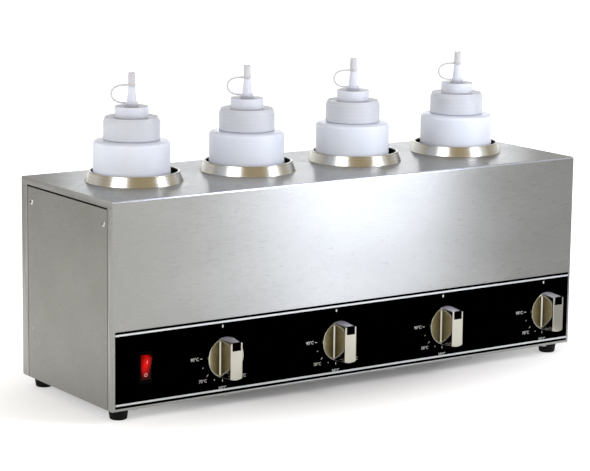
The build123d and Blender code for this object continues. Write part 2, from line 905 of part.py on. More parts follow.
def make_cable_gland():
    """Compression gland for the supply cord, through the back wall."""
    level = base + gland_level
    with BuildPart() as cable_gland:
        with BuildSketch(Plane.XZ.offset(-back)):
            with Locations((gland_x, level)):
                RegularPolygon(gland_hex / 2, 6, major_radius=False)
        extrude(amount=-gland_hex_length)
        with BuildSketch(Plane.XZ.offset(-back - gland_hex_length)):
            with Locations((gland_x, level)):
                Circle(gland_dome_radius)
        extrude(amount=-gland_dome_length)
        fillet(cable_gland.faces().sort_by(Axis.Y)[-1].edges(), gland_dome_edge)
        with BuildSketch(Plane.XZ.offset(-back)):
            with Locations((gland_x, level)):
                Circle(gland_thread_radius)
        extrude(amount=gland_thread_length)
        with BuildSketch(Plane.XZ.offset(-back + gland_thread_length)):
            with Locations((gland_x, level)):
                Circle(gland_bore_radius)
        extrude(amount=-gland_thread_length - gland_reach, mode=Mode.SUBTRACT)
    save(cable_gland, "cable_gland")


def make_gland_locknut():
    """Hexagon nut that draws the gland against the back wall from inside."""
    with BuildPart() as gland_locknut:
        with BuildSketch(Plane.XZ.offset(-back + sheet)):
            with Locations((gland_x, base + gland_level)):
                RegularPolygon(gland_hex / 2, 6, major_radius=False)
                Circle(gland_thread_radius + seat_play, mode=Mode.SUBTRACT)
        extrude(amount=locknut_thickness)
    save(gland_locknut, "gland_locknut")


def make_terminal_block():
    """Three pole terminal block standing on the base plate."""
    pole_pitch = terminal_width / terminal_poles
    with BuildPart() as terminal_block:
        with BuildSketch(Plane.XY.offset(base_top)):
            with Locations((terminal_x, terminal_y)):
                Rectangle(terminal_width, terminal_depth)
        extrude(amount=terminal_height)
        with BuildSketch(Plane.XY.offset(base_top + terminal_height)):
            with Locations(*[(terminal_x + x, terminal_y) for x in row(pole_pitch, terminal_poles)]):
                with GridLocations(0, terminal_depth / 2, 1, 2):
                    Circle(terminal_bore)
        extrude(amount=-terminal_height / 2, mode=Mode.SUBTRACT)
    save(terminal_block, "terminal_block")


def make_earth_stud():
    """Earthing stud with its collar, on the base plate beside the terminals."""
    stud_x = terminal_x - terminal_width / 2 - stud_gap
    with BuildPart() as earth_stud:
        with Locations((stud_x, terminal_y, base_top)):
            Cylinder(stud_radius, stud_height, align=(Align.CENTER, Align.CENTER, Align.MIN))
            Cylinder(stud_collar_radius, stud_collar_height, align=(Align.CENTER, Align.CENTER, Align.MIN))
    save(earth_stud, "earth_stud")


def turned(x, y, outline, mode=Mode.ADD, rounds=()):
    """Revolve a closed outline of radius and Z points round an upright axis, with some corners rounded."""
    with BuildSketch(axis_plane(x, y)) as profile:
        with BuildLine():
            Polyline(*outline, close=True)
        make_face()
        for (radius, height), size in rounds:
            fillet(outer_low_corner(radius, height), size)
    revolve(profile.sketch, axis=upright(x, y), mode=mode)


def make_bottle(number, x):
    """Blow moulded squeeze bottle with a wide neck."""
    wall = bottle_wall
    neck_z = shoulder_z + shoulder_rise
    outside = [
        (0, bottle_base),
        (bottle_radius, bottle_base),
        (bottle_top_radius, shoulder_z),
        (neck_radius, neck_z),
        (neck_radius, neck_top),
        (0, neck_top),
    ]
    inside = [
        (0, bottle_base + wall),
        (bottle_radius - wall, bottle_base + wall),
        (bottle_top_radius - wall, shoulder_z - wall),
        (neck_radius - wall, neck_z - wall),
        (neck_radius - wall, neck_top),
        (0, neck_top),
    ]
    with BuildPart() as bottle:
        turned(x, well_y, outside, rounds=[(outside[1], bottle_corner), (outside[2], shoulder_corner)])
        turned(
            x,
            well_y,
            inside,
            Mode.SUBTRACT,
            rounds=[(inside[1], bottle_corner - wall), (inside[2], shoulder_corner - wall)],
        )
    save(bottle, f"bottle_{number}")


def make_bottle_lid(number, x):
    """Screw lid: skirt, land that seats on the neck, raised step and tapered spout, all one moulding."""
    wall = lid_wall
    chamfer_z = lid_top - lid_chamfer_height
    outside = [
        (0, lid_bottom),
        (lid_radius, lid_bottom),
        (lid_radius, chamfer_z),
        (lid_radius - lid_chamfer_width, lid_top),
        (step_radius, lid_top),
        (step_radius, step_top),
        (spout_base_radius, step_top),
        (spout_top_radius, spout_top),
        (spout_tip_radius, spout_top),
        (spout_tip_radius, spout_top + spout_tip_height),
        (0, spout_top + spout_tip_height),
    ]
    inside = [
        (0, lid_bottom),
        (lid_radius - wall, lid_bottom),
        (lid_radius - wall, chamfer_z),
        (lid_radius - lid_land, chamfer_z),
        (lid_radius - lid_land, lid_top - wall),
        (step_radius - wall, lid_top - wall),
        (step_radius - wall, step_top - wall),
        (spout_base_radius - wall, step_top - wall),
        (spout_bore, spout_top - wall),
        (spout_bore, spout_top + spout_tip_height),
        (0, spout_top + spout_tip_height),
    ]
    with BuildPart() as bottle_lid:
        turned(x, well_y, outside, rounds=[(outside[5], step_edge), (outside[6], spout_fillet)])
        turned(x, well_y, inside, Mode.SUBTRACT)
    save(bottle_lid, f"bottle_lid_{number}")


def make_tip_cap(number, x):
    """Spout cap with its strap looping down to a loose ring round the foot of the spout."""
    bore = spout_tip_radius + tip_cap_play
    cap_top = tip_cap_bottom + tip_cap_height
    strap_top = tip_cap_bottom + tip_cap_flange / 2
    strap_low = strap_top - 2 * strap_loop_radius
    outside = [
        (0, tip_cap_bottom),
        (tip_cap_flange_radius, tip_cap_bottom),
        (tip_cap_flange_radius, tip_cap_bottom + tip_cap_flange),
        (tip_cap_radius, tip_cap_bottom + tip_cap_flange),
        (tip_cap_radius, cap_top),
        (0, cap_top),
    ]
    with BuildPart() as tip_cap:
        turned(x, well_y, outside, rounds=[(outside[4], tip_cap_edge)])
        with BuildSketch(Plane(origin=(x, well_y, strap_low - ring_height / 2))):
            Circle(ring_radius)
            Circle(spout_base_radius + ring_play, mode=Mode.SUBTRACT)
        extrude(amount=ring_height)
        angle = radians(strap_angle)
        strap_plane = Plane(
            origin=(x, well_y, 0), x_dir=(cos(angle), sin(angle), 0), z_dir=(sin(angle), -cos(angle), 0)
        )
        ring_middle = (ring_radius + spout_base_radius + ring_play) / 2
        cap_middle = (tip_cap_radius + bore) / 2
        with BuildLine(strap_plane) as strap_path:
            Line((cap_middle, strap_top), (strap_run, strap_top))
            ThreePointArc(
                (strap_run, strap_top), (strap_run + strap_loop_radius, strap_top - strap_loop_radius),
                (strap_run, strap_low),
            )
            Line((strap_run, strap_low), (ring_middle, strap_low))
        with BuildSketch(Plane(origin=strap_path.line @ 0, z_dir=strap_path.line % 0)):
            Circle(strap_radius)
        sweep(path=strap_path.line)
        turned(
            x,
            well_y,
            [
                (0, tip_cap_bottom),
                (bore, tip_cap_bottom),
                (bore, cap_top - tip_cap_top),
                (0, cap_top - tip_cap_top),
            ],
            Mode.SUBTRACT,
        )
    save(tip_cap, f"tip_cap_{number}")


os.makedirs("parts", exist_ok=True)
casing = casing_shell()
make_deck_sheet(casing)
make_front_sheet(casing)
make_back_sheet(casing)
make_end_panel(-1, "end_panel_left")
make_end_panel(1, "end_panel_right")
make_corner_posts()
make_end_rivets()
make_base_plate()
make_base_screws()
make_rubber_feet()
make_foot_screws()
make_control_overlay()
make_thermostat_screws()
make_switch_housing()
make_switch_rocker()
make_heater_bands()
make_heater_clamps()
make_sensor_bulbs()
make_wiring()
make_cable_gland()
make_gland_locknut()
make_terminal_block()
make_earth_stud()
for i in range(well_count):
    make_knob(i + 1, knob_xs[i])
    make_knob_pointer(i + 1, knob_xs[i])
    make_thermostat(i + 1, knob_xs[i])
    make_thermostat_shaft(i + 1, knob_xs[i])
    make_well_cup(i + 1, well_xs[i])
    make_well_collar(i + 1, well_xs[i])
    make_bottle(i + 1, well_xs[i] + bottle_shifts[i])
    make_bottle_lid(i + 1, well_xs[i] + bottle_shifts[i])
    make_tip_cap(i + 1, well_xs[i] + bottle_shifts[i])
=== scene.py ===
"""Looks of a hot fudge topping warmer: brushed casing, polished well collars, translucent squeeze bottles.

Metres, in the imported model's frame: +X along the casing, the controls on the -Y side, +Z up from the floor.
"""
from math import atan2, cos, pi, radians, sin

import bmesh
import bpy
from mathutils import Matrix, Vector


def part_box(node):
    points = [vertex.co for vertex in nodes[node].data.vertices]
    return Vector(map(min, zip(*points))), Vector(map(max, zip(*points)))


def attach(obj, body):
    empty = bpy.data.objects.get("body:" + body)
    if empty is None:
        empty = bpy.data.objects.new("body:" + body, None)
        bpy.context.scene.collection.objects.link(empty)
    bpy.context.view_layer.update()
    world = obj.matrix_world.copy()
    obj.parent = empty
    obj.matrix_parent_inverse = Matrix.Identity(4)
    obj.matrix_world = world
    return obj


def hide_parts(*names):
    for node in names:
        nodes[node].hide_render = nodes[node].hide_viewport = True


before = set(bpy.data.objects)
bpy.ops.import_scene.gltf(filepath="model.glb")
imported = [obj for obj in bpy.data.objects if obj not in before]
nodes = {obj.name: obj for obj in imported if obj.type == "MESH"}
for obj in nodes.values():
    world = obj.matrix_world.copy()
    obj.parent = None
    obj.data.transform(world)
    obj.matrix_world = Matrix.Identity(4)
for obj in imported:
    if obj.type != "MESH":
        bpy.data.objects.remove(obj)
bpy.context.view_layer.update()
scene = bpy.context.scene

# Camera, as it stands to the casing
camera_place = (-1.3454, -1.9453, 0.5832)
camera_yaw = radians(34.354)
camera_pitch = radians(10.615)
camera_roll = radians(0.705)
camera_lens = 143.1
film_width = 36.0

# How finely round pieces are turned, and how their edges are eased
turn_steps = 96
small_turn_steps = 48
corner_steps = 5
edge_steps = 3
letter_steps = 4
smooth_below = radians(40)
fine_edge = 0.0003
weld_distance = 0.000001
# Near enough to nothing to tell a flat from the rest
hair = 0.00001


# Small helpers


def tint(code):
    """An sRGB hex colour as linear RGBA."""
    channels = [int(code[i : i + 2], 16) / 255 for i in (1, 3, 5)]
    return (*[c / 12.92 if c <= 0.04045 else ((c + 0.055) / 1.055) ** 2.4 for c in channels], 1.0)


def add_node(tree, kind, inputs=(), output=0, **settings):
    """Add a shader node with its settings, and return one of its outputs.

    Its inputs come in order, or by name or number in a dict, and each is a value or the output that feeds it.
    """
    node = tree.nodes.new("ShaderNode" + kind)
    for name, value in settings.items():
        setattr(node, name, value)
    pairs = inputs.items() if isinstance(inputs, dict) else enumerate(inputs)
    for socket, value in pairs:
        if isinstance(value, bpy.types.NodeSocket):
            tree.links.new(value, node.inputs[socket])
        else:
            node.inputs[socket].default_value = value
    return node.outputs[output]


def new_material(name, **values):
    """A material with its Principled shader's even values set on the shader's own sockets."""
    material = bpy.data.materials.new(name)
    material.use_nodes = True
    shader = material.node_tree.nodes["Principled BSDF"]
    for socket, value in values.items():
        shader.inputs[socket.replace("_", " ")].default_value = value
    return material, material.node_tree, shader


def feed(tree, shader, **sources):
    """Link outputs into the shader's sockets."""
    for socket, source in sources.items():
        tree.links.new(source, shader.inputs[socket.replace("_", " ")])


def fed_by(shader, socket):
    """The output that already feeds one of the shader's sockets."""
    return shader.inputs[socket].links[0].from_socket


def grainy_pattern(tree, grain, detail=3.0, roughness=0.5):
    """Noise on the piece's own coordinates, with a grain size in metres along each axis."""
    place = add_node(tree, "TexCoord", output="Object")
    scaled = add_node(tree, "Mapping", {"Vector": place, "Scale": [1 / size for size in grain]})
    noise = {"Vector": scaled, "Scale": 1.0, "Detail": detail, "Roughness": roughness}
    return add_node(tree, "TexNoise", noise, "Fac")


# Noise keeps near its middle, so patterns are stretched from this range
faint = 0.3
strong = 0.7

# A Mix node blends by its input 0 from its input 6 to its input 7, and its colour is output 2


# Metals

rolled_grain = (0.09, 0.07, 0.05)
handled_grain = (0.007, 0.005, 0.005)
# Height over which the painted light on the deck's top fades in, and how ragged its edge is
lit_top_band = 0.001
ragged_edge = 0.0002
ring_pitch = 0.0006
smear_grain = (0.012, 0.012, 0.008)
tooth_pitch = 0.0006
satin_blend = 0.0005
lip_blend = 0.0003
# Reach over which the painted shade on the knob's face fades out from the grip
grip_shade_from = 0.008
grip_shade_to = 0.019
lacquer_cloud = (0.008, 0.008, 0.008)
lacquer_tooth = (0.0008, 0.0008, 0.004)


def brushed_stainless(name, grain, tangent_axis, light="#A0A19F", dark="#959694"):
    """304 stainless sheet, brushed: soft grey, with reflections smeared across fine one way scratches.

    Real scratches are about 0.1 mm apart, and these are 0.4 mm apart so that they show.
    """
    material, tree, shader = new_material(name, Metallic=1.0, Anisotropic=0.95)
    scratches = grainy_pattern(tree, grain, detail=4.0, roughness=0.65)
    rolling = grainy_pattern(tree, rolled_grain, detail=2.0)
    handling = grainy_pattern(tree, handled_grain, detail=4.0, roughness=0.6)
    brushed = add_node(tree, "MapRange", [scratches, faint, strong, 0.0, 0.5])
    rolled = add_node(tree, "MapRange", [rolling, faint, strong, 0.0, 0.5])
    tone = add_node(tree, "Math", [brushed, rolled])
    colour = add_node(tree, "Mix", {0: tone, 6: tint(dark), 7: tint(light)}, 2, data_type="RGBA")
    scratched = add_node(tree, "MapRange", [scratches, faint, strong, 0.25, 0.35])
    wipes_and_lit_top = add_node(tree, "MapRange", [handling, faint, strong, -0.022, 0.022])
    gloss = add_node(tree, "Math", [scratched, wipes_and_lit_top])
    tangent = add_node(tree, "Tangent", direction_type="RADIAL", axis=tangent_axis)
    relief = add_node(tree, "Bump", {"Height": scratches, "Distance": 0.00003, "Strength": 0.15})
    feed(tree, shader, Base_Color=colour, Roughness=gloss, Tangent=tangent, Normal=relief)
    return material


def lit_deck_stainless(name, grain, tangent_axis, top):
    """The casing's brushed sheet, painted lighter on its top for the light it catches, with a painted
    highlight along its front bend.
    """
    material = brushed_stainless(name, grain, tangent_axis)
    tree = material.node_tree
    shader = tree.nodes["Principled BSDF"]
    place = add_node(tree, "TexCoord", output="Object")
    level = add_node(tree, "SeparateXYZ", [place], "Z")
    # Painted light: the deck's top is painted lighter than the casing, with a ragged edge from this noise
    handling = grainy_pattern(tree, handled_grain, detail=4.0, roughness=0.6)
    ragged = add_node(tree, "MapRange", [handling, faint, strong, -ragged_edge, ragged_edge])
    reached = add_node(tree, "Math", [level, ragged])
    wipes_and_lit_top = add_node(tree, "MapRange", [reached, top - lit_top_band, top, 0.0, 1.0])
    facing = add_node(tree, "NewGeometry", output="Normal")
    outward = add_node(tree, "SeparateXYZ", [facing], "Y")
    upward = add_node(tree, "SeparateXYZ", [facing], "Z")
    bend = add_node(tree, "Math", [outward, upward], operation="MULTIPLY")
    # Painted highlight: a pale blue white line where the sheet bends from the front over to the top
    lighter_part = add_node(tree, "MapRange", [bend, -0.4, -0.1, 1.0, 0.0])
    sheet = {0: wipes_and_lit_top, 6: fed_by(shader, "Base Color"), 7: tint("#A8A9A7")}
    deck = add_node(tree, "Mix", sheet, 2, data_type="RGBA")
    colour = add_node(tree, "Mix", {0: lighter_part, 6: deck, 7: tint("#E4EDFF")}, 2, data_type="RGBA")
    feed(tree, shader, Base_Color=colour)
    return material


def turned_stainless(name, axis, light="#D8D6D0", dark="#BEBCB4"):
    """Spun and polished stainless: nearly a mirror, with faint tool rings round its axis and a few smears.

    Real rings are finer than 0.2 mm, and these are 0.6 mm apart so that they show.
    """
    material, tree, shader = new_material(name, Metallic=1.0)
    place = add_node(tree, "TexCoord", output="Object")
    shifted = add_node(tree, "VectorMath", [place, axis], operation="SUBTRACT")
    flat = add_node(tree, "VectorMath", [shifted, (1, 1, 0)], operation="MULTIPLY")
    reach = add_node(tree, "VectorMath", [flat], "Value", operation="LENGTH")
    level = add_node(tree, "SeparateXYZ", [shifted], "Z")
    rings = add_node(tree, "CombineXYZ", {"X": reach, "Z": level})
    marks = add_node(tree, "TexNoise", {"Vector": rings, "Scale": 1 / ring_pitch, "Detail": 3.0}, "Fac")
    smears = grainy_pattern(tree, smear_grain, detail=4.0)
    tone = add_node(tree, "MapRange", [marks, faint, strong, 0.0, 1.0])
    colour = add_node(tree, "Mix", {0: tone, 6: tint(dark), 7: tint(light)}, 2, data_type="RGBA")
    polished = add_node(tree, "MapRange", [marks, faint, strong, 0.19, 0.24])
    smeared = add_node(tree, "MapRange", [smears, faint, strong, -0.02, 0.05])
    gloss = add_node(tree, "Math", [polished, smeared])
    relief = add_node(tree, "Bump", {"Height": marks, "Distance": 0.00001, "Strength": 0.3})
    feed(tree, shader, Base_Color=colour, Roughness=gloss, Normal=relief)
    return material


def plated_metal(name, light, dark, roughness, cloud=0.012, pit=0.00002):
    """Plated, rolled or printed metal: a cloudy bloom over a fine tooth.

    The real tooth is finer than 0.1 mm, and this one is 0.6 mm so that it shows.
    """
    material, tree, shader = new_material(name, Metallic=1.0)
    bloom = grainy_pattern(tree, (cloud,) * 3, detail=4.0)
    tooth = grainy_pattern(tree, (tooth_pitch,) * 3, detail=2.0)
    tone = add_node(tree, "MapRange", [bloom, faint, strong, 0.0, 1.0])
    colour = add_node(tree, "Mix", {0: tone, 6: tint(dark), 7: tint(light)}, 2, data_type="RGBA")
    gloss = add_node(tree, "MapRange", [bloom, faint, strong, roughness - 0.06, roughness + 0.08])
    relief = add_node(tree, "Bump", {"Height": tooth, "Distance": pit, "Strength": 0.4})
    feed(tree, shader, Base_Color=colour, Roughness=gloss, Normal=relief)
    return material


def satin_ended_plating(name, light, dark, level, reach):
    """Champagne plating, mirror bright on the grip's flats, and rougher on its two ends, which are painted a
    pale lilac as the soft light they reflect.
    """
    material = plated_metal(name, light, dark, 0.1, cloud=0.018)
    tree = material.node_tree
    shader = tree.nodes["Principled BSDF"]
    place = add_node(tree, "TexCoord", output="Object")
    height = add_node(tree, "SeparateXYZ", [place], "Z")
    raised = add_node(tree, "Math", [height, level], operation="SUBTRACT")
    away = add_node(tree, "Math", [raised], operation="ABSOLUTE")
    pale_satin_ends = add_node(tree, "MapRange", [away, reach, reach + satin_blend, 0.0, 1.0])
    # Painted light: the two ends are painted a pale lilac for the soft light they reflect; their added
    # roughness is real
    plating = {0: pale_satin_ends, 6: fed_by(shader, "Base Color"), 7: tint("#D9D7E2")}
    colour = add_node(tree, "Mix", plating, 2, data_type="RGBA")
    end_roughening = add_node(tree, "Math", [pale_satin_ends, 0.4], operation="MULTIPLY")
    gloss = add_node(tree, "Math", [fed_by(shader, "Roughness"), end_roughening])
    feed(tree, shader, Base_Color=colour, Roughness=gloss)
    return material


def shade_darkened_steel(name, lip_level):
    """Well steel painted nearly black below its lip, as the shade inside the well, and left pale steel on its
    lip.
    """
    # Painted shade: below its lip the steel is painted nearly black, for the shade inside the well
    material = plated_metal(name, "#24221F", "#171614", 0.4)
    tree = material.node_tree
    shader = tree.nodes["Principled BSDF"]
    place = add_node(tree, "TexCoord", output="Object")
    level = add_node(tree, "SeparateXYZ", [place], "Z")
    # The lip keeps the steel's own pale colour
    lighter_part = add_node(tree, "MapRange", [level, lip_level - lip_blend, lip_level, 0.0, 1.0])
    lip_over_shade = {0: lighter_part, 6: fed_by(shader, "Base Color"), 7: tint("#C9C6BD")}
    colour = add_node(tree, "Mix", lip_over_shade, 2, data_type="RGBA")
    feed(tree, shader, Base_Color=colour)
    return material


def bronze_lacquer(name, centre, light="#9A9071", dark="#4A3E22"):
    """Bronze lacquer over plated metal: glossy, with painted shade darkening it towards the foot of the grip.

    Its brushed tooth is finer than 0.2 mm, and is drawn 0.8 mm wide so that it shows.
    """
    material, tree, shader = new_material(name, Metallic=1.0)
    place = add_node(tree, "TexCoord", output="Object")
    shifted = add_node(tree, "VectorMath", [place, centre], operation="SUBTRACT")
    across = add_node(tree, "SeparateXYZ", [shifted], "X")
    reach = add_node(tree, "Math", [across], operation="ABSOLUTE")
    cloud = grainy_pattern(tree, lacquer_cloud, detail=4.0)
    tooth = grainy_pattern(tree, lacquer_tooth)
    # Painted shade: darker near the grip's foot, lighter towards the rim
    grip_shade_falloff = add_node(tree, "MapRange", [reach, grip_shade_from, grip_shade_to, 0.0, 1.0])
    clouded = add_node(tree, "MapRange", [cloud, faint, strong, -0.12, 0.12])
    tone = add_node(tree, "Math", [grip_shade_falloff, clouded])
    colour = add_node(tree, "Mix", {0: tone, 6: tint(dark), 7: tint(light)}, 2, data_type="RGBA")
    gloss = add_node(tree, "MapRange", [tooth, faint, strong, 0.16, 0.26])
    relief = add_node(tree, "Bump", {"Height": tooth, "Distance": 0.00001, "Strength": 0.4})
    feed(tree, shader, Base_Color=colour, Roughness=gloss, Normal=relief)
    return material


# Plastics and rubber

wiped_grain = (0.012, 0.010, 0.014)
ripple_grain = (0.018, 0.018, 0.045)
waxy_grain = (0.0009, 0.0009, 0.0009)
# Where the rocker's glow centres and how it is narrowed: raised above the middle as a painted highlight for
# light from above
highlight_rise = 0.004
highlight_stretch = (2.3, 0.0, 1.0)
glow_core = 0.0025
glow_reach = 0.0145
thread_pitch = 0.0042
thread_fade = 0.0008


def moulded_plastic(name, light, dark, roughness, tooth=0.0005, depth=0.00002, **values):
    """Injection moulded plastic: an even tooth from a spark eroded mould, a little dulled by handling.

    The real tooth is finer than 0.2 mm, and is drawn coarser so that it shows.
    """
    material, tree, shader = new_material(name, **values)
    grain = grainy_pattern(tree, (tooth,) * 3, detail=2.0)
    handling = grainy_pattern(tree, wiped_grain, detail=4.0)
    tone = add_node(tree, "MapRange", [handling, faint, strong, 0.0, 1.0])
    colour = add_node(tree, "Mix", {0: tone, 6: tint(dark), 7: tint(light)}, 2, data_type="RGBA")
    toothed = add_node(tree, "MapRange", [grain, faint, strong, -0.03, 0.03])
    dulled = add_node(tree, "MapRange", [handling, faint, strong, roughness, roughness + 0.08])
    gloss = add_node(tree, "Math", [toothed, dulled])
    relief = add_node(tree, "Bump", {"Height": grain, "Distance": depth, "Strength": 0.5})
    feed(tree, shader, Base_Color=colour, Roughness=gloss, Normal=relief)
    return material


def lit_rocker(name, light, dark):
    """Clear red plastic over a neon lamp: it glows, brightest in a painted highlight high and to the left,
    where light from above falls, and fades to its edges.
    """
    material = moulded_plastic(name, light, dark, 0.3, depth=0.000004, Specular_IOR_Level=0.05)
    tree = material.node_tree
    shader = tree.nodes["Principled BSDF"]
    # The glow's centre is raised and moved left, a painted highlight where light from above falls brightest
    lamp = middle("switch_rocker") + Vector((-highlight_rise / 4, 0, highlight_rise))
    place = add_node(tree, "TexCoord", output="Object")
    away = add_node(tree, "VectorMath", [place, lamp], operation="SUBTRACT")
    stretched = add_node(tree, "VectorMath", [away, highlight_stretch], operation="MULTIPLY")
    distance = add_node(tree, "VectorMath", [stretched], "Value", operation="LENGTH")
    glow = add_node(tree, "MapRange", [distance, glow_core, glow_reach, 0.72, 0.0])
    shader.inputs["Emission Color"].default_value = tint("#FF1410")
    feed(tree, shader, Emission_Strength=glow)
    return material


def milky_polyethylene(name, light, dark, roughness=0.34, thread=None, top_shade=0.15):
    """Low density polyethylene: milky, waxy, softly lit from inside, with a slow ripple in its wall.

    A thread of (colour, top) tints the wall below a height, where a neck's thread stands behind it. Top shade
    is how much painted shade greys the faces that look up, for the little light that falls on them.
    """
    material, tree, shader = new_material(
        name,
        IOR=1.51,
        Subsurface_Weight=0.5,
        Subsurface_Radius=(0.002, 0.002, 0.0022),
        Subsurface_Scale=1.0,
    )
    ripple = grainy_pattern(tree, ripple_grain, detail=2.0)
    bloom = grainy_pattern(tree, waxy_grain)
    tone = add_node(tree, "MapRange", [ripple, faint, strong, 0.0, 1.0])
    colour = add_node(tree, "Mix", {0: tone, 6: tint(dark), 7: tint(light)}, 2, data_type="RGBA")
    if thread:
        behind, top = thread
        place = add_node(tree, "TexCoord", output="Object")
        level = add_node(tree, "SeparateXYZ", [place], "Z")
        phase = add_node(tree, "Math", [level, 2 * pi / thread_pitch], operation="MULTIPLY")
        turns = add_node(tree, "Math", [phase], operation="SINE")
        below = add_node(tree, "MapRange", [level, top - thread_fade, top, 1.0, 0.0])
        crests = add_node(tree, "MapRange", [turns, -1.0, 1.0, 0.86, 1.0])
        ghost = add_node(tree, "Math", [below, crests], operation="MULTIPLY")
        colour = add_node(tree, "Mix", {0: ghost, 6: colour, 7: tint(behind)}, 2, data_type="RGBA")
    facing = add_node(tree, "NewGeometry", output="Normal")
    upward = add_node(tree, "SeparateXYZ", [facing], "Z")
    # Painted shade: the faces that look up are greyed, for the little light that falls on them from above
    top_shade_share = add_node(tree, "MapRange", [upward, 0.55, 0.95, 0.0, top_shade])
    top_shaded = add_node(tree, "Mix", {0: top_shade_share, 6: colour, 7: tint("#8E9096")}, 2, data_type="RGBA")
    waxy = add_node(tree, "MapRange", [bloom, faint, strong, -0.04, 0.04])
    rippled = add_node(tree, "MapRange", [ripple, faint, strong, roughness, roughness + 0.08])
    gloss = add_node(tree, "Math", [waxy, rippled])
    skin = add_node(tree, "MapRange", [bloom, faint, strong, 0.0, 0.04])
    height = add_node(tree, "Math", [ripple, skin])
    relief = add_node(tree, "Bump", {"Height": height, "Distance": 0.0003, "Strength": 0.35})
    feed(tree, shader, Base_Color=top_shaded, Roughness=gloss, Normal=relief)
    return material


# Building pieces


def start_outline(bm, outline, place, closed):
    """Draw an outline of (across, up, rounding) as edges through a place, and round its corners."""
    corners = [bm.verts.new(place(across, up)) for across, up, _ in outline]
    for first, second in zip(corners, corners[1:]):
        bm.edges.new((first, second))
    if closed:
        bm.edges.new((corners[-1], corners[0]))
    for corner, (_, _, rounding) in zip(corners, outline):
        if rounding:
            bmesh.ops.bevel(
                bm,
                geom=[corner],
                offset=rounding,
                offset_type="OFFSET",
                segments=corner_steps,
                profile=0.5,
                affect="VERTICES",
                material=-1,
            )


def turn(bm, outline, centre, closed=False, steps=turn_steps):
    """Spin an outline of (radius, height, rounding) once round an upright axis."""
    start_outline(bm, outline, lambda across, up: (centre[0] + across, centre[1], up), closed)
    bmesh.ops.spin(
        bm,
        geom=bm.verts[:] + bm.edges[:],
        cent=(centre[0], centre[1], 0),
        axis=(0, 0, 1),
        angle=2 * pi,
        steps=steps,
        use_merge=True,
    )
    bmesh.ops.remove_doubles(bm, verts=bm.verts, dist=weld_distance)
    bmesh.ops.recalc_face_normals(bm, faces=bm.faces)


def keep(name, bm, body, material, replaced=()):
    """Turn a bmesh into a smooth shaded piece that rides on a body."""
    mesh = bpy.data.meshes.new(name)
    bm.to_mesh(mesh)
    bm.free()
    mesh.materials.append(material)
    mesh.shade_smooth()
    mesh.set_sharp_from_angle(angle=smooth_below)
    piece = bpy.data.objects.new(name, mesh)
    scene.collection.objects.link(piece)
    piece.modifiers.new("crisp normals", "WEIGHTED_NORMAL").keep_sharp = True
    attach(piece, body)
    if replaced:
        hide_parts(*replaced)


def as_mesh(bm):
    """A bmesh as a plain mesh."""
    mesh = bpy.data.meshes.new("part")
    bm.to_mesh(mesh)
    bm.free()
    return mesh


def curve_mesh(curve):
    """A curve as a plain mesh, with the curve dropped."""
    holder = bpy.data.objects.new("curve", curve)
    mesh = bpy.data.meshes.new_from_object(holder)
    bpy.data.objects.remove(holder)
    bpy.data.curves.remove(curve)
    return mesh


def join_mesh(bm, mesh, place):
    """Add a mesh to a bmesh, moved to its place, and drop the mesh."""
    before = set(bm.verts)
    bm.from_mesh(mesh)
    bmesh.ops.transform(bm, matrix=place, verts=[v for v in bm.verts if v not in before])
    bpy.data.meshes.remove(mesh)


def add_block(bm, size, place):
    """Add a block of a size at a place."""
    made = bmesh.ops.create_cube(bm, size=1.0)
    bmesh.ops.scale(bm, vec=size, verts=made["verts"])
    bmesh.ops.transform(bm, matrix=place, verts=made["verts"])


def dress(material, *names):
    """Give CAD nodes a better material in the slots they came with."""
    for name in names:
        for holder in nodes[name].material_slots:
            holder.material = material


def middle(node):
    """The centre of a node's box."""
    low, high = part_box(node)
    return (low + high) / 2


def half_width(node):
    """Half of a node's reach along X."""
    low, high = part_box(node)
    return (high.x - low.x) / 2


def casing_box():
    """The corners of the welded casing, without what stands on it."""
    deck_low, deck_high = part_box("deck_sheet")
    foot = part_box("front_sheet")[0].z
    return Vector((deck_low.x, deck_low.y, foot)), deck_high


# Wells

collar_wall = 0.0008
collar_hem = 0.001
collar_taper = 0.0037
lip_thickness = 0.0007
lip_reach = 0.0019
lip_edge = 0.0002
cup_wall = 0.0008
cup_corner = 0.006


def make_collar(number, material):
    """Coned ring with a hem turned under where it meets the deck."""
    node = f"well_collar_{number}"
    low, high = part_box(node)
    base = half_width(node)
    rim = base - collar_taper
    outline = [
        (base, low.z, fine_edge),
        (rim, high.z, 0),
        (rim - collar_wall, high.z, 0),
        (base - collar_hem, low.z, 0),
    ]
    bm = bmesh.new()
    turn(bm, outline, middle(node), closed=True)
    keep(f"collar_ring_{number}", bm, "casing", material, [node])


def make_cup(number, material):
    """Drawn well liner with its rolled lip on the collar."""
    node = f"well_cup_{number}"
    low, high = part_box(node)
    lip = half_width(node)
    inner = lip - lip_reach
    outer = inner + cup_wall
    outline = [
        (0, low.z, 0),
        (outer, low.z, cup_corner),
        (outer, high.z - lip_thickness, 0),
        (lip, high.z - lip_thickness, lip_edge),
        (lip, high.z, fine_edge),
        (inner, high.z, fine_edge),
        (inner, low.z + cup_wall, cup_corner - cup_wall),
        (0, low.z + cup_wall, 0),
    ]
    bm = bmesh.new()
    turn(bm, outline, middle(node))
    keep(f"well_liner_{number}", bm, "casing", material, [node])


# Squeeze bottles

bottle_wall = 0.0012
bottle_taper = 0.001
bottle_corner = 0.006
shoulder_corner = 0.0032
shoulder_rise = 0.0012
neck_radius = 0.026
neck_foot = 0.0006
shoulder_level = 0.241
floor_clearance = 0.011


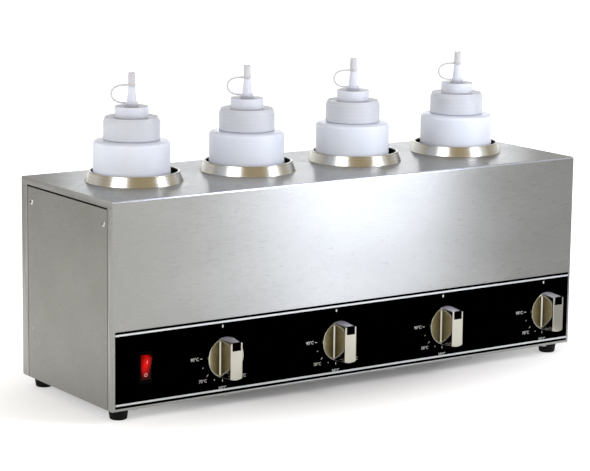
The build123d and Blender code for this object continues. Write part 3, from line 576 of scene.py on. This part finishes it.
def make_bottle(number, material):
    """Blown bottle: slightly tapered wall, rounded shoulder, wide plain neck under the lid."""
    node = f"bottle_{number}"
    low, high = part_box(node)
    radius = half_width(node)
    top = radius - bottle_taper
    shoulder = floor_clearance + shoulder_level
    neck = shoulder + shoulder_rise
    outline = [
        (0, low.z, 0),
        (radius, low.z, bottle_corner),
        (top, shoulder, shoulder_corner),
        (neck_radius, neck, neck_foot),
        (neck_radius, high.z, fine_edge),
        (neck_radius - bottle_wall, high.z, fine_edge),
        (neck_radius - bottle_wall, neck - bottle_wall, 0),
        (top - bottle_wall, shoulder - bottle_wall, shoulder_corner - bottle_wall),
        (radius - bottle_wall, low.z + bottle_wall, bottle_corner - bottle_wall),
        (0, low.z + bottle_wall, 0),
    ]
    bm = bmesh.new()
    turn(bm, outline, middle(node))
    keep(f"squeeze_bottle_{number}", bm, f"bottle_{number}", material, [node])


lid_wall = 0.0015
lid_height = 0.0218
lid_chamfer = (0.0019, 0.0046)
lid_land = 0.0055
lid_edge = 0.0004
step_radius = 0.0166
step_height = 0.0103
step_foot = 0.0008
step_edge = 0.0006
spout_radius = 0.0053
spout_foot = 0.004
spout_top_radius = 0.0035
spout_height = 0.0194
spout_tip_radius = 0.0024
spout_bore = 0.0013


def make_lid(number, material):
    """Screw lid with its stepped top and tapered spout, in one moulding."""
    node = f"bottle_lid_{number}"
    low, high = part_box(node)
    radius = half_width(node)
    top = low.z + lid_height
    chamfer = top - lid_chamfer[1]
    step = top + step_height
    spout = step + spout_height
    outline = [
        (radius - lid_wall, low.z, fine_edge),
        (radius, low.z, fine_edge),
        (radius, chamfer, lid_edge),
        (radius - lid_chamfer[0], top, lid_edge),
        (step_radius, top, step_foot),
        (step_radius, step, step_edge),
        (spout_radius, step, spout_foot),
        (spout_top_radius, spout, fine_edge),
        (spout_tip_radius, spout, 0),
        (spout_tip_radius, high.z, fine_edge),
        (spout_bore, high.z, fine_edge),
        (spout_bore, spout - lid_wall, 0),
        (spout_radius - lid_wall, step - lid_wall, 0),
        (step_radius - lid_wall, step - lid_wall, 0),
        (step_radius - lid_wall, top - lid_wall, 0),
        (radius - lid_land, top - lid_wall, 0),
        (radius - lid_land, chamfer, 0),
        (radius - lid_wall, chamfer, 0),
    ]
    bm = bmesh.new()
    turn(bm, outline, middle(f"bottle_{number}"), closed=True)
    keep(f"screw_lid_{number}", bm, f"lid_{number}", material, [node])


tip_radius = 0.0037
tip_height = 0.013
tip_draft = 0.0002
tip_crown = 0.0008
tip_flange = (0.0043, 0.001)
tip_bore = 0.00275
tip_top = 0.0014
slot_half = 0.0012
slot_depth = 0.0007
slot_reach = 0.0005
ring_section = (0.0054, 0.0067)
ring_height = 0.0012


def make_tip_cap(number, material):
    """Spout cap with a slotted top, and its strap, looped down to a loose ring round the spout's foot."""
    node = f"tip_cap_{number}"
    low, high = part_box(node)
    centre = middle(f"bottle_{number}")
    base = high.z - tip_height
    flange, flange_height = tip_flange
    outline = [
        (tip_bore, base, 0),
        (flange, base, fine_edge),
        (flange, base + flange_height, fine_edge),
        (tip_radius, base + flange_height + fine_edge, 0),
        (tip_radius - tip_draft, high.z, tip_crown),
        (0, high.z, 0),
        (0, high.z - tip_top, 0),
        (tip_bore, high.z - tip_top, 0),
    ]
    bm = bmesh.new()
    turn(bm, outline, centre, closed=True, steps=small_turn_steps)
    slot_way = Vector((cos(strap_direction), sin(strap_direction), 0))
    for vert in bm.verts:
        across = (vert.co - centre).dot(slot_way)
        if vert.co.z > high.z - slot_reach and abs(across) < slot_half:
            vert.co.z -= slot_depth
    inner, outer = ring_section
    outline = [
        (inner, low.z, fine_edge),
        (outer, low.z, fine_edge),
        (outer, low.z + ring_height, fine_edge),
        (inner, low.z + ring_height, fine_edge),
    ]
    ring = bmesh.new()
    turn(ring, outline, centre, closed=True, steps=small_turn_steps)
    join_mesh(bm, as_mesh(ring), Matrix.Identity(4))
    strap = strap_mesh(low.z + ring_height / 2, base + flange_height / 2)
    join_mesh(bm, strap, Matrix.Translation((centre.x, centre.y, 0)))
    keep(f"spout_cap_{number}", bm, f"tip_{number}", material, [node])


# The solid's cord is 0.65 mm in radius, and this one is thicker so that it shows
strap_radius = 0.00095
strap_direction = radians(150)
strap_cap_end = 0.0040
strap_cap_run = 0.0080
strap_ring_end = 0.0061
strap_ring_run = 0.0090
strap_straight = 0.0125
strap_sag = 0.0001
strap_shoulder = 0.0185
strap_shoulder_share = 0.35
strap_reach = 0.0204
strap_steps = 8


def strap_mesh(ring_level, cap_level):
    """The strap as a round cord: straight out of the cap, over in a wide bend, and back to the ring."""
    way = Vector((cos(strap_direction), sin(strap_direction), 0))
    rise = (cap_level - ring_level) / 2
    route = [
        (strap_cap_end, cap_level),
        (strap_cap_run, cap_level),
        (strap_straight, cap_level - strap_sag),
        (strap_shoulder, cap_level - strap_shoulder_share * rise),
        (strap_reach, cap_level - rise),
        (strap_shoulder, ring_level + strap_shoulder_share * rise),
        (strap_straight, ring_level + strap_sag),
        (strap_ring_run, ring_level),
        (strap_ring_end, ring_level),
    ]
    curve = bpy.data.curves.new("strap", "CURVE")
    curve.dimensions = "3D"
    curve.bevel_depth = strap_radius
    curve.bevel_resolution = edge_steps
    curve.use_fill_caps = True
    spline = curve.splines.new("NURBS")
    spline.points.add(len(route) - 1)
    for point, (out, up) in zip(spline.points, route):
        point.co = (way.x * out, way.y * out, up, 1)
    spline.order_u = 4
    spline.use_endpoint_u = True
    spline.resolution_u = strap_steps
    return curve_mesh(curve)


# Control strip

# Ink is drawn thicker than the real film of it, so that it stands clear of the strip
print_thickness = 0.00006
silver_lines = ((0.0055, 0.0074), (0.0729, 0.0748))
dial_numbers = ("90°C", "70°C", "50°C", "30°C")
dial_start = 270
dial_step = 22.5
index_size = (0.0015, print_thickness, 0.0026)
index_radius = 0.0296
scale_radius = 0.0242
long_tick = (0.0006, print_thickness, 0.0025)
short_tick = (0.0006, print_thickness, 0.0014)
number_radius = 0.0317
number_height = 0.0031
# Capitals' height as a share of the type's size
capital_share = 0.7


def strip_point(x, z):
    """A point on the face of the control strip."""
    return Vector((x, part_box("control_overlay")[0].y, z))


def make_silver_lines(material):
    """Two silver lines printed along the strip."""
    low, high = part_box("control_overlay")
    bm = bmesh.new()
    for bottom, top in silver_lines:
        place = strip_point((low.x + high.x) / 2, floor_clearance + (bottom + top) / 2)
        add_block(bm, (high.x - low.x, print_thickness, top - bottom), Matrix.Translation(place))
    keep("silver_lines", bm, "casing", material)


def written(text):
    """A number as a mesh in the XY plane, centred on the origin."""
    curve = bpy.data.curves.new("word", "FONT")
    curve.body = text
    curve.size = number_height / capital_share
    curve.align_x = "CENTER"
    curve.align_y = "CENTER"
    curve.extrude = print_thickness / 2
    curve.resolution_u = letter_steps
    return curve_mesh(curve)


def dial_place(centre, turn_degrees, reach):
    """A place on the dial, turned so that its Z runs outwards; degrees are clockwise from the top."""
    angle = radians(turn_degrees)
    spot = centre + Vector((sin(angle) * reach, 0, cos(angle) * reach))
    return Matrix.Translation(spot) @ Matrix.Rotation(angle, 4, "Y")


def make_dial(number, material):
    """Printed dial round a knob: an index line above it, and the scale below and to its left."""
    knob = middle(f"knob_{number}")
    centre = strip_point(knob.x, knob.z)
    upright = Matrix.Rotation(pi / 2, 4, "X")
    bm = bmesh.new()
    add_block(bm, index_size, dial_place(centre, 0, index_radius))
    turns = [dial_start - 2 * dial_step * i for i in range(len(dial_numbers))]
    for turned, number_text in zip(turns, dial_numbers):
        add_block(bm, long_tick, dial_place(centre, turned, scale_radius))
        spot = dial_place(centre, turned, number_radius).translation
        join_mesh(bm, written(number_text), Matrix.Translation(spot) @ upright)
    for turned in turns[:-1]:
        add_block(bm, short_tick, dial_place(centre, turned - dial_step, scale_radius))
    keep(f"dial_print_{number}", bm, "casing", material)


# Knobs

rim_radius = 0.02
rim_thickness = 0.002
rim_edge = 0.0004
rim_level = 0.007
hub_radius = 0.008
hub_length = 0.003
skirt_radius = 0.0186
skirt_thickness = 0.00012
grip_half = 0.0068
grip_length = 0.0185
grip_draft = 0.0012
grip_steps = 64
grip_hollow = 0.0003
grip_edge = 0.0006
grip_slices = 8
# Edges folded by more than this are rounded, in radians
sharp_fold = 0.5
satin_inset = 0.0018
cove_size = 0.0013
cove_sink = 0.0002
cove_half_length = 0.0167
insert_size = (0.0098, 0.0086)
insert_reach = 0.0186
insert_thickness = 0.0003


def knob_place(number):
    """Where a knob's rim faces the front, with Z along the knob's axis, outwards."""
    knob = middle(f"knob_{number}")
    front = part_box("front_sheet")[0].y
    return Matrix.Translation((knob.x, front - rim_level, knob.z)) @ Matrix.Rotation(pi / 2, 4, "X")


def grip_mesh():
    """The grip: a cone cut down to a bar, its sides hollowed and its outer edges rounded."""
    bm = bmesh.new()
    bmesh.ops.create_cone(
        bm,
        cap_ends=True,
        segments=grip_steps,
        radius1=rim_radius,
        radius2=rim_radius - grip_draft,
        depth=grip_length,
        matrix=Matrix.Translation((0, 0, grip_length / 2)),
    )
    for side in (-1, 1):
        cut = bmesh.ops.bisect_plane(
            bm,
            geom=bm.verts[:] + bm.edges[:] + bm.faces[:],
            plane_co=(side * grip_half, 0, 0),
            plane_no=(side, 0, 0),
            clear_outer=True,
        )
        open_edges = [item for item in cut["geom_cut"] if isinstance(item, bmesh.types.BMEdge)]
        bmesh.ops.holes_fill(bm, edges=open_edges)
    for i in range(1, grip_slices):
        bmesh.ops.bisect_plane(
            bm,
            geom=bm.verts[:] + bm.edges[:] + bm.faces[:],
            plane_co=(0, 0, grip_length * i / grip_slices),
            plane_no=(0, 0, 1),
        )
    for vert in bm.verts:
        if abs(vert.co.x) > grip_half - hair:
            depth = grip_hollow * (1 - (2 * vert.co.z / grip_length - 1) ** 2)
            vert.co.x -= depth if vert.co.x > 0 else -depth
    outer = [
        edge
        for edge in bm.edges
        if max(vert.co.z for vert in edge.verts) > hair and edge.calc_face_angle() > sharp_fold
    ]
    bmesh.ops.bevel(
        bm,
        geom=outer,
        offset=grip_edge,
        offset_type="OFFSET",
        segments=edge_steps,
        profile=0.5,
        affect="EDGES",
        material=-1,
    )
    return as_mesh(bm)


def make_knob(number, material):
    """Bar knob: a thin rim on its hub, the grip across it, and a cove along each foot of the grip."""
    outline = [
        (0, -hub_length, 0),
        (hub_radius, -hub_length, fine_edge),
        (hub_radius, -rim_thickness, 0),
        (rim_radius, -rim_thickness, fine_edge),
        (rim_radius, 0, rim_edge),
        (0, 0, 0),
    ]
    bm = bmesh.new()
    turn(bm, outline, (0, 0))
    join_mesh(bm, grip_mesh(), Matrix.Identity(4))
    root = grip_half - cove_sink
    for side in (-1, 1):
        foot = [(root, 0), (grip_half + cove_size, 0), (root, cove_size)]
        corners = [bm.verts.new((side * across, -cove_half_length, up)) for across, up in foot]
        grown = bmesh.ops.extrude_face_region(bm, geom=[bm.faces.new(corners)])
        ends = [item for item in grown["geom"] if isinstance(item, bmesh.types.BMVert)]
        bmesh.ops.translate(bm, vec=(0, 2 * cove_half_length, 0), verts=ends)
    bmesh.ops.recalc_face_normals(bm, faces=bm.faces)
    bmesh.ops.transform(bm, matrix=knob_place(number), verts=bm.verts)
    keep(f"bar_knob_{number}", bm, f"control_{number}", material, [f"knob_{number}"])


def make_knob_skirt(number, material):
    """Lacquered face let into the knob's rim."""
    outline = [
        (0, 0, 0),
        (skirt_radius, 0, 0),
        (skirt_radius, skirt_thickness, 0),
        (0, skirt_thickness, 0),
    ]
    bm = bmesh.new()
    turn(bm, outline, (0, 0))
    bmesh.ops.transform(bm, matrix=knob_place(number), verts=bm.verts)
    keep(f"knob_skirt_{number}", bm, f"control_{number}", material)


def make_knob_insert(number, material):
    """Black insert across the end of the grip that points at the scale."""
    node = f"knob_pointer_{number}"
    place = Matrix.Translation((0, insert_reach - insert_size[1] / 2, grip_length - insert_thickness / 2))
    bm = bmesh.new()
    add_block(bm, (*insert_size, insert_thickness), place)
    bmesh.ops.transform(bm, matrix=knob_place(number), verts=bm.verts)
    keep(f"knob_insert_{number}", bm, f"control_{number}", material, [node])


# Rocker marks

rocker_tilt = radians(10)
rocker_hollow = 0.0026
rocker_end = 0.004
rocker_half = 0.012
rocker_depth = 0.0002
mark_reach = 0.0066
line_mark = (0.0007, print_thickness, 0.0034)
circle_mark_radius = 0.0018
circle_mark_bore = 0.66
circle_mark_steps = 28


def make_rocker_marks(material):
    """The I and O moulded in the rocker's two halves and filled white."""
    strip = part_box("control_overlay")[0].y
    pivot = Vector((middle("switch_rocker").x, strip + rocker_depth, middle("knob_1").z))
    out = Vector((0, -cos(rocker_tilt), -sin(rocker_tilt)))
    up = Vector((0, -sin(rocker_tilt), cos(rocker_tilt)))
    slope = atan2(rocker_end - rocker_hollow, rocker_half)
    bm = bmesh.new()
    for side in (1, -1):
        normal = out * cos(slope) - up * sin(slope) * side
        along = up * cos(slope) + out * sin(slope) * side
        spot = pivot + out * rocker_hollow + along * side * mark_reach
        turned = Matrix((Vector((1, 0, 0)), -normal, along)).transposed().to_4x4()
        place = Matrix.Translation(spot) @ turned
        if side > 0:
            add_block(bm, line_mark, place)
        else:
            ring = bmesh.ops.create_circle(bm, segments=circle_mark_steps, radius=circle_mark_radius)
            edges = [edge for edge in bm.edges if edge.verts[0] in ring["verts"]]
            grown = bmesh.ops.extrude_edge_only(bm, edges=edges)
            inner = [item for item in grown["geom"] if isinstance(item, bmesh.types.BMVert)]
            bmesh.ops.scale(bm, vec=(circle_mark_bore, circle_mark_bore, 1), verts=inner)
            both = ring["verts"] + inner
            bmesh.ops.transform(bm, matrix=place @ Matrix.Rotation(pi / 2, 4, "X"), verts=both)
            bmesh.ops.translate(bm, vec=normal * print_thickness / 2, verts=both)
    keep("rocker_marks", bm, "rocker", material)


# Feet and rivets

foot_radius = 0.0098
foot_edge = 0.0005
foot_hole = 0.0022
tread_radius = 0.0083
tread_rounding = 0.0014
recess_radius = 0.0045
recess_depth = 0.0055
recess_edge = 0.0004


def make_feet(material):
    """Moulded rubber feet with a rounded tread edge and a screw recess."""
    low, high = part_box("rubber_feet")
    reach = high.x - foot_radius
    outline = [
        (foot_hole, high.z, 0),
        (foot_radius, high.z, foot_edge),
        (tread_radius, low.z, tread_rounding),
        (recess_radius, low.z, recess_edge),
        (recess_radius, low.z + recess_depth, 0),
        (foot_hole, low.z + recess_depth, 0),
    ]
    bm = bmesh.new()
    for x in (-reach, reach):
        for y in (low.y + foot_radius, high.y - foot_radius):
            foot = bmesh.new()
            turn(foot, outline, (x, y), closed=True, steps=small_turn_steps)
            join_mesh(bm, as_mesh(foot), Matrix.Identity(4))
    keep("moulded_feet", bm, "casing", material, ["rubber_feet"])


rivet_inset_front = 0.0174
rivet_inset_back = 0.0208
rivet_drop = 0.023
low_rivet_rise = 0.052
high_head = 0.0013
low_head = 0.0007
# A pin's radius as a share of its rivet head's height
pin_share = 0.85
pin_drop = 0.00005
pin_thickness = 0.0002
pin_steps = 20


def make_rivet_pins(material):
    """The broken steel pin left in each blind rivet, a disc near the top of its domed head."""
    low, high = casing_box()
    places = [
        (low.y + rivet_inset_front, high.z - rivet_drop, high_head),
        (high.y - rivet_inset_back, high.z - rivet_drop, high_head),
        (high.y - rivet_inset_back, low.z + low_rivet_rise, low_head),
    ]
    bm = bmesh.new()
    for side, face in ((-1, low.x), (1, high.x)):
        for y, z, head in places:
            spot = Vector((face + side * (head - pin_drop - pin_thickness / 2), y, z))
            made = bmesh.ops.create_cone(
                bm,
                cap_ends=True,
                segments=pin_steps,
                radius1=pin_share * head,
                radius2=pin_share * head,
                depth=pin_thickness,
            )
            place = Matrix.Translation(spot) @ Matrix.Rotation(side * pi / 2, 4, "Y")
            bmesh.ops.transform(bm, matrix=place, verts=made["verts"])
    keep("rivet_pins", bm, "casing", material)


# Studio

floor_half = 20.0
floor_squares = 8
floor_patches = (0.5, 0.5, 0.5)
floor_stretch = (0.55, 1, 1)
shade_core = 0.09
shade_reach = 0.27

# Each softbox's place, its size, its power and its colour
softboxes = {
    "softbox_right": ((0.46, -0.72, 0.55), (0.24, 0.9), 5.6, "#E8EEFF"),
    "softbox_left": ((-2.58, -0.90, 1.30), (1.5, 1.5), 31.0, "#EEF3FF"),
    "softbox_behind": ((0.915, 1.36, 0.52), (0.80, 0.40), 2.95, "#F6F8FF"),
}
overhead_power = 0.25
overhead_breadth = radians(90)
overhead_tilt = radians(-25)

# Each flag's size, place and turn: on the floor to the right, upright to the right, and upright behind
flag_sheets = (
    ((0.70, 0.60, 0.004), (0.68, -0.45, 0.004), 0),
    ((0.60, 0.004, 0.80), (1.02, -0.75, 0.40), 0),
    ((0.90, 0.004, 0.50), (-0.70, 0.61, 0.25), radians(34)),
)


def make_floor():
    """Pale floor, lit from below, with a soft shade left under the casing."""
    bm = bmesh.new()
    bmesh.ops.create_grid(bm, x_segments=floor_squares, y_segments=floor_squares, size=floor_half)
    material, tree, shader = new_material("backlit white floor", Roughness=0.9, Specular_IOR_Level=0.0)
    patch = grainy_pattern(tree, floor_patches, detail=2.0)
    tone = add_node(tree, "MapRange", [patch, faint, strong, 0.0, 1.0])
    colour = add_node(tree, "Mix", {0: tone, 6: tint("#DADADA"), 7: tint("#DEDEDE")}, 2, data_type="RGBA")
    place = add_node(tree, "TexCoord", output="Object")
    away = add_node(tree, "VectorMath", [place, floor_stretch], operation="MULTIPLY")
    reach = add_node(tree, "VectorMath", [away], "Value", operation="LENGTH")
    backlight = add_node(tree, "MapRange", [reach, shade_core, shade_reach, 0.11, 0.92])
    shader.inputs["Emission Color"].default_value = tint("#FFFFFF")
    feed(tree, shader, Base_Color=colour, Emission_Strength=backlight)
    add_stage("studio_floor", bm, material)


def make_room():
    """Room light: tan in front, and behind it white low down and grey above."""
    world = bpy.data.worlds.new("studio")
    world.use_nodes = True
    tree = world.node_tree
    direction = add_node(tree, "TexCoord", output="Generated")
    eastward = add_node(tree, "SeparateXYZ", [direction], "X")
    backward = add_node(tree, "SeparateXYZ", [direction], "Y")
    upward = add_node(tree, "SeparateXYZ", [direction], "Z")
    back = add_node(tree, "MapRange", [backward, -0.5, 0.5, 0.0, 1.0])
    right = add_node(tree, "MapRange", [eastward, -1.0, -0.45, 0.25, 1.0])
    side = add_node(tree, "Math", [back, right], operation="MULTIPLY")
    height = add_node(tree, "MapRange", [upward, 0.15, 0.5, 0.0, 1.0])
    behind = add_node(tree, "Mix", {0: height, 6: tint("#FFFFFF"), 7: tint("#909090")}, 2, data_type="RGBA")
    before = add_node(tree, "Mix", {0: height, 6: tint("#BEB6A4"), 7: tint("#B5A482")}, 2, data_type="RGBA")
    light = add_node(tree, "Mix", {0: side, 6: before, 7: behind}, 2, data_type="RGBA")
    tree.links.new(light, tree.nodes["Background"].inputs["Color"])
    scene.world = world


def add_stage(name, bm, material):
    """Link a bmesh as a piece of the studio."""
    mesh = as_mesh(bm)
    mesh.materials.append(material)
    piece = bpy.data.objects.new(name, mesh)
    scene.collection.objects.link(piece)
    return piece


def add_flags():
    """Grey flags that only reflections see."""
    bm = bmesh.new()
    for size, place, turned in flag_sheets:
        add_block(bm, size, Matrix.Translation(place) @ Matrix.Rotation(turned, 4, "Z"))
    flags = add_stage("grey_flags", bm, moulded_plastic("grey felt flags", "#E2E2E2", "#DADADA", 0.9))
    flags.visible_camera = False
    flags.visible_diffuse = False
    flags.visible_shadow = False


def add_softboxes():
    """Rectangular softboxes, left, right and behind, aimed at the middle of the casing."""
    for name, (place, size, power, colour) in softboxes.items():
        light = bpy.data.lights.new(name, "AREA")
        light.shape = "RECTANGLE"
        light.size, light.size_y = size
        light.energy = power
        light.color = tint(colour)[:3]
        lamp = bpy.data.objects.new(name, light)
        aim = middle("well_cup_2") - Vector(place)
        lamp.matrix_world = Matrix.Translation(place) @ aim.to_track_quat("-Z", "Y").to_matrix().to_4x4()
        scene.collection.objects.link(lamp)


def add_overhead():
    """Broad, even light from above."""
    light = bpy.data.lights.new("overhead", "SUN")
    light.energy = overhead_power
    light.angle = overhead_breadth
    lamp = bpy.data.objects.new("overhead", light)
    lamp.matrix_world = Matrix.Rotation(overhead_tilt, 4, "X")
    scene.collection.objects.link(lamp)


def make_camera():
    """A long lens from the left of the controls, a little above the casing."""
    camera = bpy.data.cameras.new("camera")
    camera.sensor_width = film_width
    camera.lens = camera_lens
    holder = bpy.data.objects.new("camera", camera)
    holder.matrix_world = (
        Matrix.Translation(camera_place)
        @ Matrix.Rotation(-camera_yaw, 4, "Z")
        @ Matrix.Rotation(pi / 2 - camera_pitch, 4, "X")
        @ Matrix.Rotation(camera_roll, 4, "Z")
    )
    scene.collection.objects.link(holder)
    scene.camera = holder


# Materials

# Size of one brushed line along X, Y and Z
along_casing = (0.02, 0.0004, 0.0004)
across_casing = (0.0004, 0.02, 0.0004)
casing_top = casing_box()[1].z
cup_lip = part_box("well_cup_1")[1].z - lip_thickness - lip_edge
lid_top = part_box("bottle_lid_1")[0].z + lid_height
ring_tint_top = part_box("tip_cap_1")[0].z + 2 * ring_height

# Brushed along the casing, so reflections on it are smeared up and down
casing_steel = brushed_stainless("brushed stainless, along the casing", along_casing, "X")
deck_steel = lit_deck_stainless("brushed stainless, deck", along_casing, "X", casing_top)
# Brushed from front to back, and painted darker than the casing, as shade on the ends
panel_steel = brushed_stainless(
    "brushed stainless, end panels", across_casing, "Y", light="#92928E", dark="#84847F"
)
cup_steel = shade_darkened_steel("cup steel, painted dark as well shade", cup_lip)
# Bright zinc: pale, slightly blue grey, softly shiny
zinc = plated_metal("zinc plated steel", "#A9ABAD", "#8F9294", 0.38)
# Zinc in the seams, painted almost black as the shade there, and matt
seam_shade_zinc = plated_metal("galvanised angle, painted dark as seam shade", "#161617", "#0E0E0F", 0.55)
# Small plated heads: brighter than the bands, with a fine mottle
screw_zinc = plated_metal("zinc plated screws", "#B4B6B6", "#8E9090", 0.3, cloud=0.003)
# Soft rolled aluminium: pale and satin
rivet_metal = plated_metal("aluminium rivets", "#C2C2C0", "#9E9E9C", 0.34, cloud=0.003)
# Snapped steel, painted nearly black as the shade in each rivet's hollow: a dark, rough spot
pin_steel = plated_metal("broken rivet pins", "#161514", "#0A0A09", 0.5, cloud=0.003)
champagne = satin_ended_plating(
    "champagne plated knobs", "#ACAA9F", "#A2A096", middle("knob_1").z, rim_radius - satin_inset
)
# Drawn copper, a little tarnished: warm and softly shiny
copper = plated_metal("bare copper capillary", "#C88A63", "#A86B48", 0.35)
# Turned brass: yellow and softly shiny
brass = plated_metal("plain brass", "#C5A562", "#A88A4B", 0.32)
# Printed film with a matt face: black, with no highlight
film = moulded_plastic(
    "black polyester film", "#010101", "#000000", 0.6, depth=0.000004, Specular_IOR_Level=0.0
)
# Metal flake in ink: bright silver without a clear reflection
silver_ink = plated_metal("silver ink", "#C9CCCE", "#BABDBF", 0.45, cloud=0.006, pit=0.000003)
# Screen printed white: flat and slightly grey
white_ink = moulded_plastic("white ink", "#D0D0CE", "#C2C2C0", 0.6, depth=0.000003)
# White filling, painted pink for the rocker's red glow through it
mark_ink = moulded_plastic("white ink over the lit rocker", "#E29A98", "#D68C8A", 0.6, depth=0.000003)
# ABS: nearly black, with a faint soft sheen
black_insert = moulded_plastic("black ABS insert", "#040404", "#020202", 0.42, Specular_IOR_Level=0.1)
# Nylon: dark grey black, waxy
black_nylon = moulded_plastic("black nylon", "#161616", "#0E0E0E", 0.48)
# Matt textured nylon: black, with almost no highlight
bezel_nylon = moulded_plastic(
    "matt black nylon bezel", "#040404", "#010101", 0.7, Specular_IOR_Level=0.02
)
red_rocker = lit_rocker("lit red polycarbonate rocker", "#300202", "#260101")
# Vulcanised rubber: matt black with a coarser tooth than plastic
rubber = moulded_plastic(
    "black rubber", "#090909", "#040404", 0.6, tooth=0.0008, depth=0.00006, Specular_IOR_Level=0.12
)
# Pressed phenolic: dark brown, hard and half glossy
phenolic = moulded_plastic("brown phenolic thermostat body", "#3B3430", "#2A2522", 0.4)
# Undyed nylon: cream, waxy
natural_nylon = moulded_plastic("natural nylon", "#DEDACB", "#CCC8B8", 0.45)
# Silicone sleeve: off white, dull
silicone = moulded_plastic("silicone insulation", "#D6D3C8", "#C2BFB4", 0.55)
# Bottles are blown with a little painted shade on top, lids moulded with heavy painted shade on top, and caps
# moulded and greyer
bottle_plastic = milky_polyethylene("blown polyethylene bottle", "#E5ECFF", "#E0E7FB")
lid_plastic = milky_polyethylene(
    "moulded polyethylene lid",
    "#D9DDE9",
    "#D2D6E2",
    roughness=0.4,
    thread=("#C6CAD2", lid_top),
    top_shade=0.75,
)
cap_plastic = milky_polyethylene(
    "moulded polyethylene cap",
    "#CCCCD1",
    "#C1C1C6",
    roughness=0.38,
    thread=("#D9DDE9", ring_tint_top),
)


# Assembly

wells = range(1, 5)
dress(deck_steel, "deck_sheet")
dress(casing_steel, "front_sheet", "back_sheet", "base_plate")
dress(panel_steel, "end_panel_left", "end_panel_right")
dress(seam_shade_zinc, "corner_posts")
dress(zinc, "heater_bands")
dress(screw_zinc, "base_screws", "foot_screws", "thermostat_screws", "heater_clamps")
dress(rivet_metal, "end_rivets")
dress(film, "control_overlay")
dress(black_nylon, "cable_gland", "gland_locknut")
dress(bezel_nylon, "switch_housing")
dress(red_rocker, "switch_rocker")
dress(copper, "sensor_bulbs")
dress(silicone, "wiring")
dress(natural_nylon, "terminal_block")
dress(brass, "earth_stud")
for i in wells:
    make_knob(i, champagne)
    make_knob_skirt(i, bronze_lacquer(f"bronze lacquered skirt {i}", middle(f"knob_{i}")))
    make_knob_insert(i, black_insert)
    dress(phenolic, f"thermostat_{i}")
    dress(zinc, f"thermostat_shaft_{i}")
    well = middle(f"well_collar_{i}")
    make_collar(i, turned_stainless(f"polished stainless collar {i}", (well.x, well.y, 0)))
    make_cup(i, cup_steel)
    make_bottle(i, bottle_plastic)
    make_lid(i, lid_plastic)
    make_tip_cap(i, cap_plastic)
    make_dial(i, white_ink)
make_silver_lines(silver_ink)
make_rocker_marks(mark_ink)
make_feet(rubber)
make_rivet_pins(pin_steel)
make_floor()
make_room()
add_softboxes()
add_overhead()
add_flags()
make_camera()
scene.view_settings.view_transform = "Standard"
